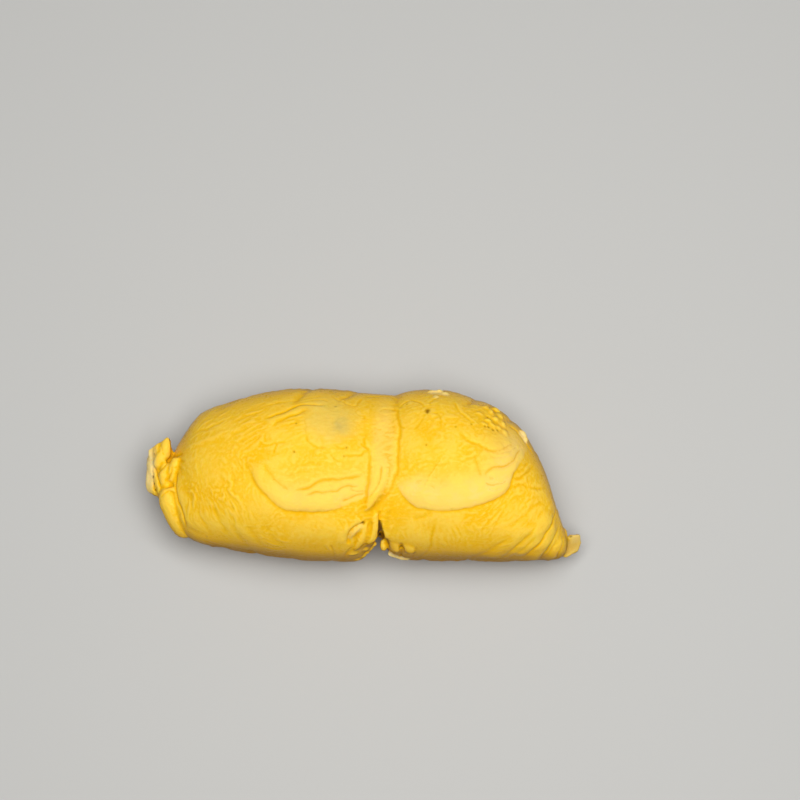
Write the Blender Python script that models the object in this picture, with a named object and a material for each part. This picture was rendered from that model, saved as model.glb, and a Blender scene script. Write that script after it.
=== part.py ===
"""Durian flesh: one peeled segment of two lobes that grew together end to end.

The segment lies on its side along X and rests on a flat spot at z = 0. It is one solid: a loft gives
the two-lobed loaf, rolls and knobs of flesh are fused onto it, and folds are pressed into its skin.
"""

import math

import bpy
import numpy as np
from mathutils import Matrix, Vector, noise
from mathutils.bvhtree import BVHTree

NODE = "durian_flesh"
MM = 0.001

# Skin colour and gloss
FLESH_COLOUR = (0.90, 0.56, 0.06, 1.0)
FLESH_ROUGHNESS = 0.42

# The loaf, in millimetres: x, front y, back y, lowest z, top z. A lowest z under 0 is pressed flat.
STATIONS = (
    (-60.6, -7.0, -0.4, 17.0, 22.0),
    (-59.9, -12.4, 7.0, 11.0, 25.5),
    (-57.2, -16.6, 13.2, 6.0, 29.0),
    (-50.8, -20.4, 20.6, 2.2, 35.0),
    (-40.0, -22.8, 24.6, -0.4, 40.6),
    (-27.0, -25.4, 26.9, -1.1, 44.0),
    (-13.0, -26.4, 27.4, -1.2, 45.0),
    (-2.0, -26.2, 27.0, -1.0, 43.8),
    (8.0, -25.4, 26.6, -0.6, 42.4),
    (17.0, -26.1, 27.6, -1.0, 43.6),
    (28.0, -26.3, 27.3, -1.2, 44.8),
    (39.0, -26.2, 23.4, -1.1, 43.6),
    (48.0, -26.0, 17.0, -0.6, 40.0),
    (55.5, -25.7, 6.0, 1.0, 34.5),
    (60.6, -25.6, -6.8, 4.0, 27.5),
    (63.8, -24.2, -16.0, 7.5, 21.0),
    (64.8, -21.7, -19.0, 11.5, 15.5),
)
RINGS_BETWEEN_STATIONS = 12
POINTS_AROUND = 128
WIDEST_LEVEL = 0.44
POWER_BACK_TOP = 2.1
POWER_FRONT_TOP = 2.35
POWER_BELOW = 2.35

# The cleft between the lobes, in millimetres
CLEFT_FRONT_X = 5.0
CLEFT_BACK_X = 10.6
CLEFT_FRONT_DEPTH = 6.2
CLEFT_FRONT_WIDTH = 3.2
CLEFT_FRONT_TOP = 34.0
VALLEY_DEPTH = 0.45
VALLEY_BELOW_DEPTH = 2.2
VALLEY_WIDTH = 3.6

# The folds are laid out as seen by an eye above the front, in pixels of an 800 x 800 view
EYE = Vector((11.9, -92.0, 715.4)) * MM
VIEW_CENTRE_PX = (362.5, 475.0)
PX_PER_MM_X = 3.16
PX_PER_MM_Y = 3.117
VIEW_PLANE_Z = 22.0 * MM
# The slit that runs on upwards from the cleft: where it lies, how deep it is, where it starts and
# is widest along y, and its half width at those two places (mm)
SLIT_X = 5.7
SLIT_DEPTH = 4.5
SLIT_REACH = (-16.2, -22.5)
SLIT_WIDTHS = (0.12, 0.62)

# Fused rolls on the skin: path in view pixels, half width and height at each point of it (mm)
SKIN_ROLLS = {
    "bridge": {
        "path": ((384, 425), (383, 440), (382.5, 455), (381, 470), (377.5, 485), (372, 499), (366, 512)),
        "half_width": (4.4, 4.6, 4.6, 4.0, 3.0, 2.1, 1.3),
        "height": (-0.5, -0.3, 0.05, 0.55, 1.05, 1.3, 1.0),
    },
    "torn_flap": {
        "path": ((375.6, 510), (376, 521), (374, 532), (370.5, 541.5), (363, 550)),
        "half_width": (1.5, 1.8, 2.1, 2.3, 1.8),
        "height": (0.6, 1.0, 1.15, 1.1, 0.7),
    },
    "flap_ridge": {
        "path": ((367, 521), (365, 530), (361.5, 540), (354, 550)),
        "half_width": (1.1, 1.7, 2.0, 1.7),
        "height": (0.1, 0.5, 0.65, 0.45),
    },
    "shred": {
        "path": ((362, 525), (358, 529), (353.5, 533.5), (349.5, 538)),
        "half_width": (0.5, 0.9, 1.0, 0.5),
        "height": (0.3, 0.5, 0.5, 0.3),
    },
    "left_tooth": {
        "path": ((390, 536), (391, 541), (392.6, 546), (394, 551)),
        "half_width": (1.6, 2.2, 2.6, 2.2),
        "height": (-0.7, -0.1, 0.7, 0.6),
    },
    "right_tooth": {
        "path": ((405, 538), (407, 544), (409.3, 549), (411.3, 553)),
        "half_width": (1.5, 2.1, 2.4, 2.0),
        "height": (-0.7, 0.0, 0.7, 0.5),
    },
    "right_edge_roll": {
        "path": ((462, 399), (478, 406), (492, 414), (503, 423), (513, 436)),
        "half_width": (2.0, 3.0, 3.6, 3.4, 2.0),
        "height": (-0.3, 0.2, 0.35, 0.3, -0.3),
    },
}
# Fused knobs on the skin: view pixel, radii along x, along y and outwards, sink, turn (mm, degrees)
SKIN_KNOBS = (
    (486, 408.5, 1.7, 1.2, 1.2, 0.15, 20),
    (490.5, 412.5, 1.2, 1.5, 1.2, 0.15, 0),
    (496, 411, 1.8, 1.3, 1.2, 0.15, -30),
    (499.5, 416.5, 1.4, 1.9, 1.2, 0.2, 15),
    (495.5, 419, 1.5, 1.1, 1.1, 0.15, 40),
    (503, 424, 1.3, 1.6, 1.0, 0.25, 0),
    (505, 432, 1.4, 1.6, 0.9, 0.35, 20),
    (488, 420.5, 1.3, 0.9, 1.0, 0.2, 10),
    (484, 424, 1.0, 0.8, 0.8, 0.25, 0),
    (492.5, 425, 1.2, 0.8, 0.9, 0.25, -20),
    (498.5, 427, 1.1, 0.9, 0.8, 0.25, 0),
    (480, 414, 1.6, 0.9, 0.9, 0.45, -30),
    (432.5, 391.5, 1.8, 0.8, 0.8, 0.0, 5),
    (439.5, 391.5, 1.6, 0.9, 1.0, 0.0, -20),
    (445.5, 393, 1.3, 0.8, 0.8, 0.1, 10),
    (436, 396, 0.8, 1.1, 0.6, 0.2, 0),
    (521.5, 435, 0.9, 1.7, 1.2, 0.0, 35),
    (524.5, 440, 0.8, 1.0, 1.0, 0.0, 0),
    (354, 552.5, 2.2, 1.5, 1.1, 0.75, 35),
)
# Rolls at the ends and the cleft where flesh tore: view pixel, z and radius (mm)
END_ROLLS = {
    "thumb": ((172.5, 487, 24.2, 2.4), (172, 492.5, 24.2, 3.3), (173, 500, 23.6, 3.8),
              (177, 508.5, 22.5, 3.9), (181.3, 517, 20.7, 3.8), (186, 524.5, 18.0, 3.4),
              (190, 530, 14.8, 2.6)),
    "thumb_rim": ((163.2, 497, 25.6, 0.45), (166, 492, 26.6, 0.6), (171.8, 489.2, 27.4, 0.65),
                  (177.6, 489.6, 27.7, 0.6), (180.2, 495, 27.5, 0.45)),
    "scar_rim": ((153, 452, 22.6, 1.3), (153.2, 459, 22.2, 1.6), (152.8, 467, 21.8, 1.7),
                 (152.2, 475, 21.2, 1.9), (152.8, 484, 20.4, 2.1), (156.5, 493, 19.6, 2.0)),
    "spike": ((168.9, 436.6, 26.4, 0.4), (167.6, 441, 26.2, 1.2), (166.6, 446, 26.0, 1.8),
              (165.5, 452, 25.6, 2.0), (164, 459, 25.0, 1.6)),
    "spike_front": ((162.5, 442.5, 25.0, 0.7), (159.5, 447, 25.0, 1.4), (159, 453, 25.0, 1.5),
                    (160, 459, 24.6, 1.4)),
    "knuckle": ((158.2, 467.5, 24.2, 1.3), (160, 462.5, 25.0, 1.9), (162.4, 457, 25.6, 2.0),
                (165, 451.5, 25.8, 1.5)),
    "crevice_rim": ((158, 474, 24.2, 0.7), (159.5, 481, 24.4, 0.8), (161.8, 487.5, 24.4, 0.8),
                    (160.8, 493, 23.2, 0.9)),
    "pleat": ((166, 484, 24.4, 1.6), (166.5, 476, 25.4, 2.1), (168.5, 468, 26.0, 1.9),
              (170.5, 462, 26.4, 1.2)),
    "pleat_behind": ((172.5, 484, 25.2, 1.4), (174.5, 474, 26.6, 1.8), (176, 465, 27.6, 1.7),
                     (178, 457, 28.0, 1.2)),
    "slit_knob": ((382.8, 537.5, 26.5, 0.8), (383.6, 543.5, 25.0, 1.15), (384.3, 548.2, 23.0, 0.9)),
    "torn_rim": ((388.6, 549.5, 20.2, 0.35), (389.8, 552.2, 19.8, 0.65), (392.4, 554.2, 19.4, 0.42),
                 (395.2, 554.2, 19.2, 0.65), (398.4, 556.2, 18.8, 0.40), (401.6, 556.8, 18.5, 0.52),
                 (405, 557.2, 18.2, 0.36), (409, 558.8, 18.0, 0.3)),
    "torn_edge": ((374.5, 542.5, 24.8, 0.5), (371, 545.8, 24.0, 0.7), (367, 549.2, 22.6, 0.75),
                  (363, 552.5, 21.2, 0.75), (357.5, 555.4, 19.8, 0.6)),
    "neck": ((157, 470, 19.0, 4.0), (166, 475, 19.5, 6.4), (178, 482, 19.5, 8.0)),
    "end_lump": ((546.5, 546, 13.0, 4.0), (555, 539, 15.5, 3.5), (558, 525, 18.0, 2.4)),
}
# Free knobs: view pixel and z of the middle, three radii (mm), turn about z and tilt about x (degrees)
END_KNOBS = (
    (160, 464, 21.4, 4.2, 6.4, 3.6, 0, 0),
    (160, 482, 20.6, 3.9, 4.6, 3.2, 0, 0),
    (374.5, 542.5, 25.0, 1.0, 0.8, 0.8, 40, 0),
    (371, 546, 24.2, 1.3, 0.7, 0.8, 40, 0),
    (367.2, 549.5, 22.6, 0.9, 0.9, 0.7, 40, 0),
    (364, 552.5, 21.4, 1.3, 0.8, 0.7, 40, 0),
    (358.5, 555.8, 20.0, 1.5, 0.7, 0.7, 20, 0),
)
# Thin plates of torn flesh: outline as view pixel and z, and thickness (mm)
PLATES = {
    "spike_plate": (((168.8, 437.0, 25.4), (171.2, 440.5, 25.2), (171.6, 446, 25.0), (173.2, 450.5, 25.0),
                     (172.5, 456, 24.6), (168, 462, 24.0), (158, 462, 23.4), (151, 458, 22.8),
                     (149.3, 450, 22.8), (155.5, 445.6, 23.8), (163, 441.4, 24.8)), 3.0),
    "end_flap": (((562, 538, 13.0), (569, 533.2, 13.6), (578.3, 532.8, 12.4), (578.6, 540.5, 10.6),
                  (575.2, 548.4, 9.6), (569.6, 551.4, 9.6), (563.5, 555, 9.4), (557, 552, 10.6)), 1.5),
}
ROLL_POINTS_AROUND = 12
ROLL_SINK = 0.8

# Folds pressed into the skin: path in view pixels, profile in millimetres.
# A lip raises the skin on one side by height, rounds its edge and creases its foot by depth.
LIPS = {
    "left_crescent": {
        "path": ((246.5, 453), (249, 466), (255, 478.5), (263, 490), (273.5, 500), (280, 506),
                 (289.5, 509.7), (304, 511), (320.5, 510.7), (334, 509.5), (343, 506.5), (352, 502.5)),
        "height": 0.52, "edge": 2.2, "reach": 6.0, "depth": 0.10, "left_is_raised": True,
    },
    "right_crescent": {
        "path": ((394, 478), (398.4, 487), (404, 496), (412, 504), (420, 507.4), (431.7, 509.1),
                 (444.3, 509.7), (460.4, 508.6), (476.4, 505.1), (489, 500.5), (499.4, 496),
                 (507.4, 489), (510.3, 481), (512.5, 474.5), (516.6, 467.2), (521.2, 460.4),
                 (525, 453)),
        "height": 0.72, "edge": 2.6, "reach": 8.0, "depth": 0.12, "left_is_raised": True,
    },
    "bridge_right_edge": {
        "path": ((398.4, 403), (397.3, 409), (397.5, 418), (399.6, 426), (399.6, 431.7), (398, 444.3),
                 (397.3, 460), (397.3, 468.4), (394, 477.6), (389.2, 490), (383.5, 497), (378, 504),
                 (371, 510.5)),
        "height": 0.16, "edge": 1.1, "reach": 4.0, "depth": 0.20, "left_is_raised": False,
    },
    "bridge_left_edge": {
        "path": ((364.6, 432.2), (366.3, 445.4), (369.7, 449.5), (370.6, 460.4), (369.7, 477.6),
                 (368, 488), (367.4, 496), (367.4, 505)),
        "height": 0.10, "edge": 1.0, "reach": 3.0, "depth": 0.20, "left_is_raised": True,
    },
    "right_shoulder_fold": {
        "path": ((454.6, 431), (460.4, 434), (467.2, 439.7), (477.6, 444.3), (490.2, 450),
                 (499.4, 449.5), (508.6, 445.4), (515.5, 442)),
        "height": 0.28, "edge": 1.2, "reach": 3.5, "depth": 0.12, "left_is_raised": True,
    },
    "right_inner_fold": {
        "path": ((483.3, 477.6), (486.8, 471.8), (492.5, 468.4), (501.7, 467.2), (507.4, 464.9),
                 (513.2, 460.4), (517.8, 453.5), (521.2, 447.7)),
        "height": 0.38, "edge": 1.1, "reach": 2.2, "depth": 0.20, "left_is_raised": False,
    },
    "far_groove": {
        "path": ((261.8, 420.8), (269.8, 418), (278, 415), (286, 411.6), (294, 407.6), (302, 404.7),
                 (309, 404.1), (320.4, 404.7), (328.4, 403)),
        "height": 0.35, "edge": 0.9, "reach": 2.5, "depth": 0.30, "left_is_raised": False,
    },
    "thumb_edge": {
        "path": ((179.8, 470), (178.3, 479), (178.2, 488), (180.2, 497.3), (182.8, 505),
                 (185.8, 512.6), (188.2, 520.3), (190.4, 527)),
        "height": 0.45, "edge": 1.2, "reach": 2.6, "depth": 0.5, "left_is_raised": True,
    },
    "crevice_edge": {
        "path": ((366, 519), (363.6, 522.7), (359.2, 523.8), (353.3, 527), (349.7, 531.5),
                 (348.2, 538), (349, 544)),
        "height": 0.35, "edge": 1.0, "reach": 2.0, "depth": 0.55, "left_is_raised": False,
    },
    "end_fold_1": {
        "path": ((492.5, 559), (498, 556.5), (504.8, 551.4), (513, 545), (520, 538.5), (528, 531),
                 (534, 522)),
        "height": 0.40, "edge": 2.2, "reach": 3.6, "depth": 0.14, "left_is_raised": True,
    },
    "end_fold_2": {
        "path": ((513.5, 558.5), (520.5, 554.6), (529.6, 547.3), (538, 539), (543, 531.5),
                 (548.7, 522.4), (552.5, 514), (554, 505)),
        "height": 0.80, "edge": 2.4, "reach": 4.0, "depth": 0.25, "left_is_raised": True,
    },
    "end_fold_3": {
        "path": ((535.5, 556.8), (541, 552), (547, 545.5), (552, 536.5), (555.5, 529), (557, 523)),
        "height": 0.80, "edge": 2.2, "reach": 3.4, "depth": 0.30, "left_is_raised": True,
    },
    "end_fold_4": {
        "path": ((551, 557), (557, 549.8), (561, 541.5), (561, 533)),
        "height": 0.55, "edge": 1.2, "reach": 2.4, "depth": 0.5, "left_is_raised": True,
    },
}
# Creases: path in view pixels, half width and depth (mm). A ridge has a depth under 0.
CREASES = (
    (((292, 491), (302.6, 488.3), (311, 486.2), (319, 481.6), (325, 479.3), (337.6, 479.3), (348, 477.3),
      (359.4, 476), (364.5, 471)), 0.8, 0.42),
    (((303, 495.5), (315.8, 492), (325, 491.6), (336.4, 490.8), (341, 488), (348.5, 485.6),
      (354.8, 486.2), (362, 485)), 0.8, 0.3),
    (((349, 486.8), (357, 490.8), (366, 489)), 0.8, 0.2),
    (((341, 501.5), (353.6, 496), (366.5, 491.5)), 0.8, 0.28),
    (((264, 462), (270, 472), (276, 479), (285, 486.5), (292, 490.5)), 0.95, 0.22),
    (((343.3, 456), (350.2, 455.2), (360.5, 454.6), (365.1, 451.2), (370, 449)), 0.8, 0.22),
    (((271, 427), (280.2, 421.3), (288.2, 416.7), (297.4, 414), (304.3, 410.4), (311.2, 408.7)), 0.8, 0.3),
    (((184, 450), (197, 443), (212, 437.5), (225, 432), (238, 428), (250, 423)), 0.9, -0.16),
    (((346.8, 397), (344.5, 400.7), (349.5, 404), (356, 404.7), (359.4, 400.7), (361.7, 397.2)), 0.8, 0.2),
    (((361.7, 397.2), (372, 396.5), (384, 396), (393, 398), (398.4, 403)), 0.8, 0.22),
    (((382.3, 463), (381.2, 475.3), (379, 483.3), (376, 488.5), (370, 494.8), (368.5, 500)), 0.8, 0.35),
    (((512, 479), (517.8, 477.6), (522.3, 475.3), (528, 470.7), (533, 466)), 0.8, 0.28),
    (((516, 472.5), (522, 468.5), (527, 462)), 0.8, 0.2),
    (((512, 489), (515.5, 485.6), (521.2, 484), (528, 488)), 0.8, 0.2),
    (((528, 487), (538.4, 488), (544.2, 486.8), (549, 484)), 0.8, 0.34),
    (((506, 423.6), (514.3, 429.4), (521.2, 437.4), (528, 447), (534, 458)), 0.8, 0.32),
    (((481, 404.5), (488, 407), (495, 408.5)), 0.8, 0.2),
    (((497, 409.5), (502, 414.5), (505, 420), (506, 427)), 0.8, 0.3),
    (((411.3, 518), (423, 516.3), (427.4, 513.4), (434, 512)), 0.9, 0.16),
    (((434.5, 522), (433.3, 527), (431.1, 535.2), (430.3, 544), (428, 550), (422.3, 555), (415, 557.5)),
      0.8, 0.3),
    (((466, 557), (476, 554), (486.5, 549.8), (494, 545), (501.4, 539.8), (512, 531)), 1.2, 0.24),
    (((380.2, 510), (380.8, 515), (381, 521), (380.8, 528)), 0.8, 0.6),
    (((363.6, 525), (360.7, 531.5), (356.3, 537.5), (356, 541.5), (354, 546), (348.2, 550.5), (342, 558)),
      0.8, 0.38),
    (((370, 518), (371, 528), (369.5, 538), (365, 545)), 0.8, 0.2),
    (((360, 546), (367, 543.5), (375, 541)), 0.8, 0.28),
    (((346, 554), (352, 549), (358, 546)), 0.8, 0.28),
    (((331, 543), (334.5, 551), (335.5, 557.5)), 0.8, 0.34),
    (((399.5, 541.5), (401, 546), (401.6, 551), (401.2, 556)), 0.8, 1),
    (((387.2, 539), (387, 545), (388, 551)), 0.8, 0.6),
    (((416.5, 545.5), (415.8, 551), (412, 556)), 0.8, 0.35),
    (((154, 461), (156, 468.3), (158, 473), (160, 480), (161, 485), (164, 488)), 0.8, 0.5),
    (((170.6, 460), (167, 463.5), (163, 468.5), (158.4, 473)), 0.8, 0.5),
    (((173, 464), (173, 471.3), (169.6, 477.4), (168.3, 480), (173.7, 483.6), (176.5, 488)), 0.8, 0.36),
    (((162.6, 497.5), (166, 493), (170.6, 490.9), (175, 492.2)), 0.8, 0.3),
    (((155.6, 446), (156.2, 453), (154.8, 461)), 0.8, 0.34),
    (((161, 443.5), (163, 450), (166, 456)), 0.8, 0.2),
    (((154.5, 463), (153.4, 470), (154, 476), (154.8, 485), (157.5, 492)), 0.8, 0.36),
    (((171.4, 458.5), (176.7, 456), (184, 454)), 0.8, 0.3),
    (((172.1, 462), (180.6, 460.8), (186, 462)), 0.8, 0.26),
    (((171, 467), (178, 467), (184, 469)), 0.8, 0.2),
    (((203, 535.5), (213, 540), (225, 543.8), (236, 546.5)), 0.8, 0.34),
    (((232, 520), (240, 534), (251, 546)), 1.3, 0.18),
    (((248, 522), (257, 536), (269, 549)), 1.3, 0.16),
    (((264, 521), (275, 536), (287, 549)), 1.4, 0.14),
    (((214, 502), (221, 519), (231, 534)), 1.3, 0.16),
    (((197, 500), (204, 518), (216, 534)), 1.2, 0.14),
)
# Creases on the hidden sides, as seen level from the back or the front, and from below: x and height,
# or x and y (mm)
BACK_CREASES = (
    (((-46, 30), (-38, 24), (-33, 16), (-30, 6)), 1.5, 0.7),
    (((-22, 38), (-17, 28), (-16, 18), (-19, 6)), 1.3, 0.7),
    (((-8, 36), (-2, 27), (0, 17), (-1, 7)), 1.2, 0.5),
    (((10, 41), (11, 31), (10, 20), (11, 8)), 1.2, 0.5),
    (((20, 30), (24, 22), (25, 12), (22, 4)), 1.4, 0.6),
    (((31, 38), (35, 30), (36, 20), (33, 8)), 1.4, 0.7),
    (((44, 34), (47, 26), (46, 16), (42, 6)), 1.3, 0.7),
)
LOW_FRONT_CREASES = (
    (((-47, 21), (-43, 14), (-38, 6)), 1.2, 0.45),
    (((-36, 23), (-33, 15), (-30, 5)), 1.4, 0.50),
    (((-22, 19), (-21, 12), (-22, 4)), 1.3, 0.40),
    (((-10, 22), (-9, 14), (-6, 6)), 1.2, 0.45),
    (((18, 20), (20, 12), (19, 4)), 1.2, 0.40),
    (((31, 22), (34, 14), (38, 6)), 1.4, 0.50),
    (((45, 20), (49, 13), (52, 8)), 1.2, 0.45),
)
UNDER_CREASES = (
    (((-44, 14), (-34, 17), (-22, 19), (-10, 18)), 1.6, 0.7),
    (((16, 20), (26, 19), (36, 15), (44, 9)), 1.6, 0.7),
    (((10, 24), (9, 17), (9, 14)), 1.8, 1.2),
    (((7, -14), (8, -8), (9, 0), (10, 8)), 2.0, 1.0),
    (((-50, -8), (-46, -14), (-38, -19)), 1.6, 0.7),
    (((30, -20), (40, -20), (50, -17), (56, -11)), 1.6, 0.7),
)
FADE_SHARE = 0.2
LIP_FOOT_WIDTH = 0.8 * MM

# Soft unevenness of the whole skin: wavelength and amplitude (mm)
SWELLS = ((24.0, 0.85), (9.0, 0.30))
NOISE_SEED_OFFSET = Vector((3.7, 1.3, 8.1))

FUSING_VOXEL = 0.55 * MM
FUSING_SMOOTH_STEPS = 5
FINAL_TRIANGLES = 11850


def clear_scene():
    for thing in list(bpy.data.objects):
        bpy.data.objects.remove(thing, do_unlink=True)


def smooth_path(points, per_span):
    """Points on a Catmull-Rom curve through the given rows of numbers, per_span steps a span."""
    rows = np.array(points, float)
    rows = np.vstack([2 * rows[0] - rows[1], rows, 2 * rows[-1] - rows[-2]])
    made = []
    for k in range(1, len(rows) - 2):
        a, b, c, d = rows[k - 1 : k + 3]
        for step in range(per_span):
            t = step / per_span
            made.append(
                0.5 * (2 * b + (c - a) * t + (2 * a - 5 * b + 4 * c - d) * t**2
                       + (3 * b - a - 3 * c + d) * t**3)
            )
    made.append(rows[-2])
    return np.array(made)


def smooth_step(low, high, value):
    t = np.clip((value - low) / (high - low), 0.0, 1.0)
    return t * t * (3 - 2 * t)


def bulged(value, power):
    """A cosine or sine pushed outwards, so that a circle becomes a superellipse."""
    return math.copysign(abs(value) ** (2 / power), value)


def loaf_ring(station):
    """One closed cross-section of the loaf, in millimetres."""
    x, front, back, low, top = station
    middle_y, half_y = (front + back) / 2, (back - front) / 2
    middle_z = low + WIDEST_LEVEL * (top - low)
    ring = []
    for k in range(POINTS_AROUND):
        angle = 2 * math.pi * k / POINTS_AROUND
        across, up = math.cos(angle), math.sin(angle)
        above = POWER_BACK_TOP if across > 0 else POWER_FRONT_TOP
        power = above if up > 0 else POWER_BELOW
        reach_z = (top - middle_z) if up > 0 else (middle_z - low)
        ring.append((x, middle_y + half_y * bulged(across, power), middle_z + reach_z * bulged(up, power)))
    return ring


def press_cleft(points):
    """Presses the valley between the lobes into the loaf, deepest at the front."""
    x, y, z = points.T
    share = smooth_step(-24.0, 14.0, y)
    seam_x = CLEFT_FRONT_X + (CLEFT_BACK_X - CLEFT_FRONT_X) * share
    front = smooth_step(-11.0, -23.0, y) * (1 - smooth_step(CLEFT_FRONT_TOP - 8, CLEFT_FRONT_TOP, z))
    cut = CLEFT_FRONT_DEPTH * front * np.exp(-(((x - seam_x) / CLEFT_FRONT_WIDTH) ** 2))
    below = 1 - smooth_step(4.0, 20.0, z)
    valley = VALLEY_DEPTH + (VALLEY_BELOW_DEPTH - VALLEY_DEPTH) * below
    valley = valley * np.exp(-(((x - seam_x) / VALLEY_WIDTH) ** 2))
    towards = np.stack([np.zeros_like(x), -y / 27.0, (19.0 - z) / 24.0], axis=1)
    towards /= np.maximum(np.linalg.norm(towards, axis=1, keepdims=True), 1e-6)
    torn = smooth_step(*SLIT_REACH, y) * smooth_step(16.0, 24.0, z)
    slit_width = SLIT_WIDTHS[0] + (SLIT_WIDTHS[1] - SLIT_WIDTHS[0]) * torn
    slit = SLIT_DEPTH * torn * np.exp(-(((x - SLIT_X) / slit_width) ** 2))
    pressed = points + towards * (valley + slit)[:, None]
    pressed[:, 1] += cut
    return pressed


def loaf_surface():
    """Vertices in metres and faces of the closed loaf."""
    stations = smooth_path(STATIONS, RINGS_BETWEEN_STATIONS)
    rings = np.array([loaf_ring(s) for s in stations])
    points = press_cleft(rings.reshape(-1, 3))
    ends = [rings[0].mean(axis=0), rings[-1].mean(axis=0)]
    points = np.vstack([points, ends])
    around = POINTS_AROUND
    faces = []
    for r in range(len(stations) - 1):
        for k in range(around):
            n = (k + 1) % around
            faces.append((r * around + k, r * around + n, (r + 1) * around + n, (r + 1) * around + k))
    last, first_pole = (len(stations) - 1) * around, len(points) - 2
    for k in range(around):
        n = (k + 1) % around
        faces.append((n, k, first_pole))
        faces.append((last + k, last + n, first_pole + 1))
    return points * MM, faces


def view_ray(px, py):
    """Direction from the eye through a pixel of the view."""
    x = (px - VIEW_CENTRE_PX[0]) / PX_PER_MM_X * MM
    y = (VIEW_CENTRE_PX[1] - py) / PX_PER_MM_Y * MM
    return (Vector((x, y, VIEW_PLANE_Z)) - EYE).normalized()


def point_at(px, py, z):
    """The point at height z, in millimetres, that shows at a pixel of the view."""
    ray = view_ray(px, py)
    return EYE + ray * ((z * MM - EYE.z) / ray.z)


def seen_by_eye(tree, path):
    """Where the pixels of a path land on the skin: points and outward directions."""
    return [tree.ray_cast(EYE, view_ray(px, py))[:2] for px, py in path]


def seen_from_back(tree, path):
    level = Vector((0, -1, 0))
    return [tree.ray_cast(Vector((x * MM, 0.1, z * MM)), level)[:2] for x, z in path]


def seen_from_front(tree, path):
    level = Vector((0, 1, 0))
    return [tree.ray_cast(Vector((x * MM, -0.1, z * MM)), level)[:2] for x, z in path]


def seen_from_below(tree, path):
    up = Vector((0, 0, 1))
    return [tree.ray_cast(Vector((x * MM, y * MM, -0.1)), up)[:2] for x, y in path]


def landed(hits):
    """The hits that met the skin, as an array of points and one of directions."""
    found = [(p, n) for p, n in hits if p is not None]
    return np.array([p for p, _ in found], float), np.array([n for _, n in found], float)


def tube(centres, sides, ups, half_widths, half_heights):
    """A closed tube of elliptical rings along a path, its ends drawn to points."""
    points, faces = [], []
    around = ROLL_POINTS_AROUND
    for centre, side, up, wide, high in zip(centres, sides, ups, half_widths, half_heights):
        for k in range(around):
            angle = 2 * math.pi * k / around
            points.append(centre + side * wide * math.cos(angle) + up * high * math.sin(angle))
    for r in range(len(centres) - 1):
        for k in range(around):
            n = (k + 1) % around
            faces.append((r * around + k, r * around + n, (r + 1) * around + n, (r + 1) * around + k))
    last = (len(centres) - 1) * around
    faces.append(tuple(range(around))[::-1])
    faces.append(tuple(range(last, last + around)))
    return np.array(points), faces


def rounded_ends(count):
    """A factor that brings a roll's width to nearly nothing over its first and last rings."""
    t = np.linspace(0, 1, count)
    from_end = np.minimum(t, 1 - t) / 0.12
    return np.sqrt(np.clip(1 - (1 - np.clip(from_end, 0.02, 1)) ** 2, 0.0, 1.0))


def skin_roll(tree, roll):
    """A roll of flesh lying on the skin along its path."""
    rows = [(px, py, w, h) for (px, py), w, h in zip(roll["path"], roll["half_width"], roll["height"])]
    rows = smooth_path(rows, 6)
    hits = seen_by_eye(tree, rows[:, :2])
    rows = rows[[point is not None for point, _ in hits]]
    points, outs = landed(hits)
    along = np.gradient(points, axis=0)
    along /= np.linalg.norm(along, axis=1, keepdims=True)
    sides = np.cross(outs, along)
    sides /= np.linalg.norm(sides, axis=1, keepdims=True)
    ends = rounded_ends(len(points))
    high = (rows[:, 3] + ROLL_SINK) * MM * ends
    centres = points - outs * ROLL_SINK * MM
    return tube(centres, sides, outs, rows[:, 2] * MM * ends, high)


def free_roll(rows):
    """A roll of round section through points given by view pixel and height, with their radii."""
    rows = [(*(point_at(px, py, z) / MM), r) for px, py, z, r in rows]
    rows = smooth_path(rows, 6) * MM
    points, radii = rows[:, :3], rows[:, 3]
    along = np.gradient(points, axis=0)
    along /= np.linalg.norm(along, axis=1, keepdims=True)
    sides = np.cross(along, np.array((0.0, 0.0, 1.0)))
    sides /= np.linalg.norm(sides, axis=1, keepdims=True)
    ups = np.cross(sides, along)
    width = radii * rounded_ends(len(points))
    return tube(points, sides, -ups, width, width)


def ball(centre, right, forward, out, radii):
    """A closed ellipsoid with its own three directions."""
    rings, around = 8, 12
    points = [centre + out * radii[2]]
    for r in range(1, rings):
        polar = math.pi * r / rings
        for k in range(around):
            angle = 2 * math.pi * k / around
            flat = right * radii[0] * math.cos(angle) + forward * radii[1] * math.sin(angle)
            points.append(centre + flat * math.sin(polar) + out * radii[2] * math.cos(polar))
    points.append(centre - out * radii[2])
    faces = []
    for k in range(around):
        n = (k + 1) % around
        faces.append((0, 1 + k, 1 + n))
        for r in range(rings - 2):
            low, high = 1 + r * around, 1 + (r + 1) * around
            faces.append((low + k, high + k, high + n, low + n))
        last = 1 + (rings - 2) * around
        faces.append((last + n, last + k, len(points) - 1))
    return np.array([list(p) for p in points]), faces


def skin_knob(tree, knob):
    px, py, along_x, along_y, out_by, sink, turn = knob
    centre, out = tree.ray_cast(EYE, view_ray(px, py))[:2]
    turned = math.radians(turn)
    right = Vector((math.cos(turned), math.sin(turned), 0))
    right = (right - out * right.dot(out)).normalized()
    radii = (along_x * MM, along_y * MM, out_by * MM)
    return ball(centre - out * sink * MM, right, out.cross(right), out, radii)


def free_knob(knob):
    px, py, z, along_x, along_y, out_by, turn, tilt = knob
    spin = Matrix.Rotation(math.radians(turn), 3, "Z") @ Matrix.Rotation(math.radians(tilt), 3, "X")
    right, forward, out = spin.col[0], spin.col[1], spin.col[2]
    return ball(point_at(px, py, z), right, forward, out, (along_x * MM, along_y * MM, out_by * MM))


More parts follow.
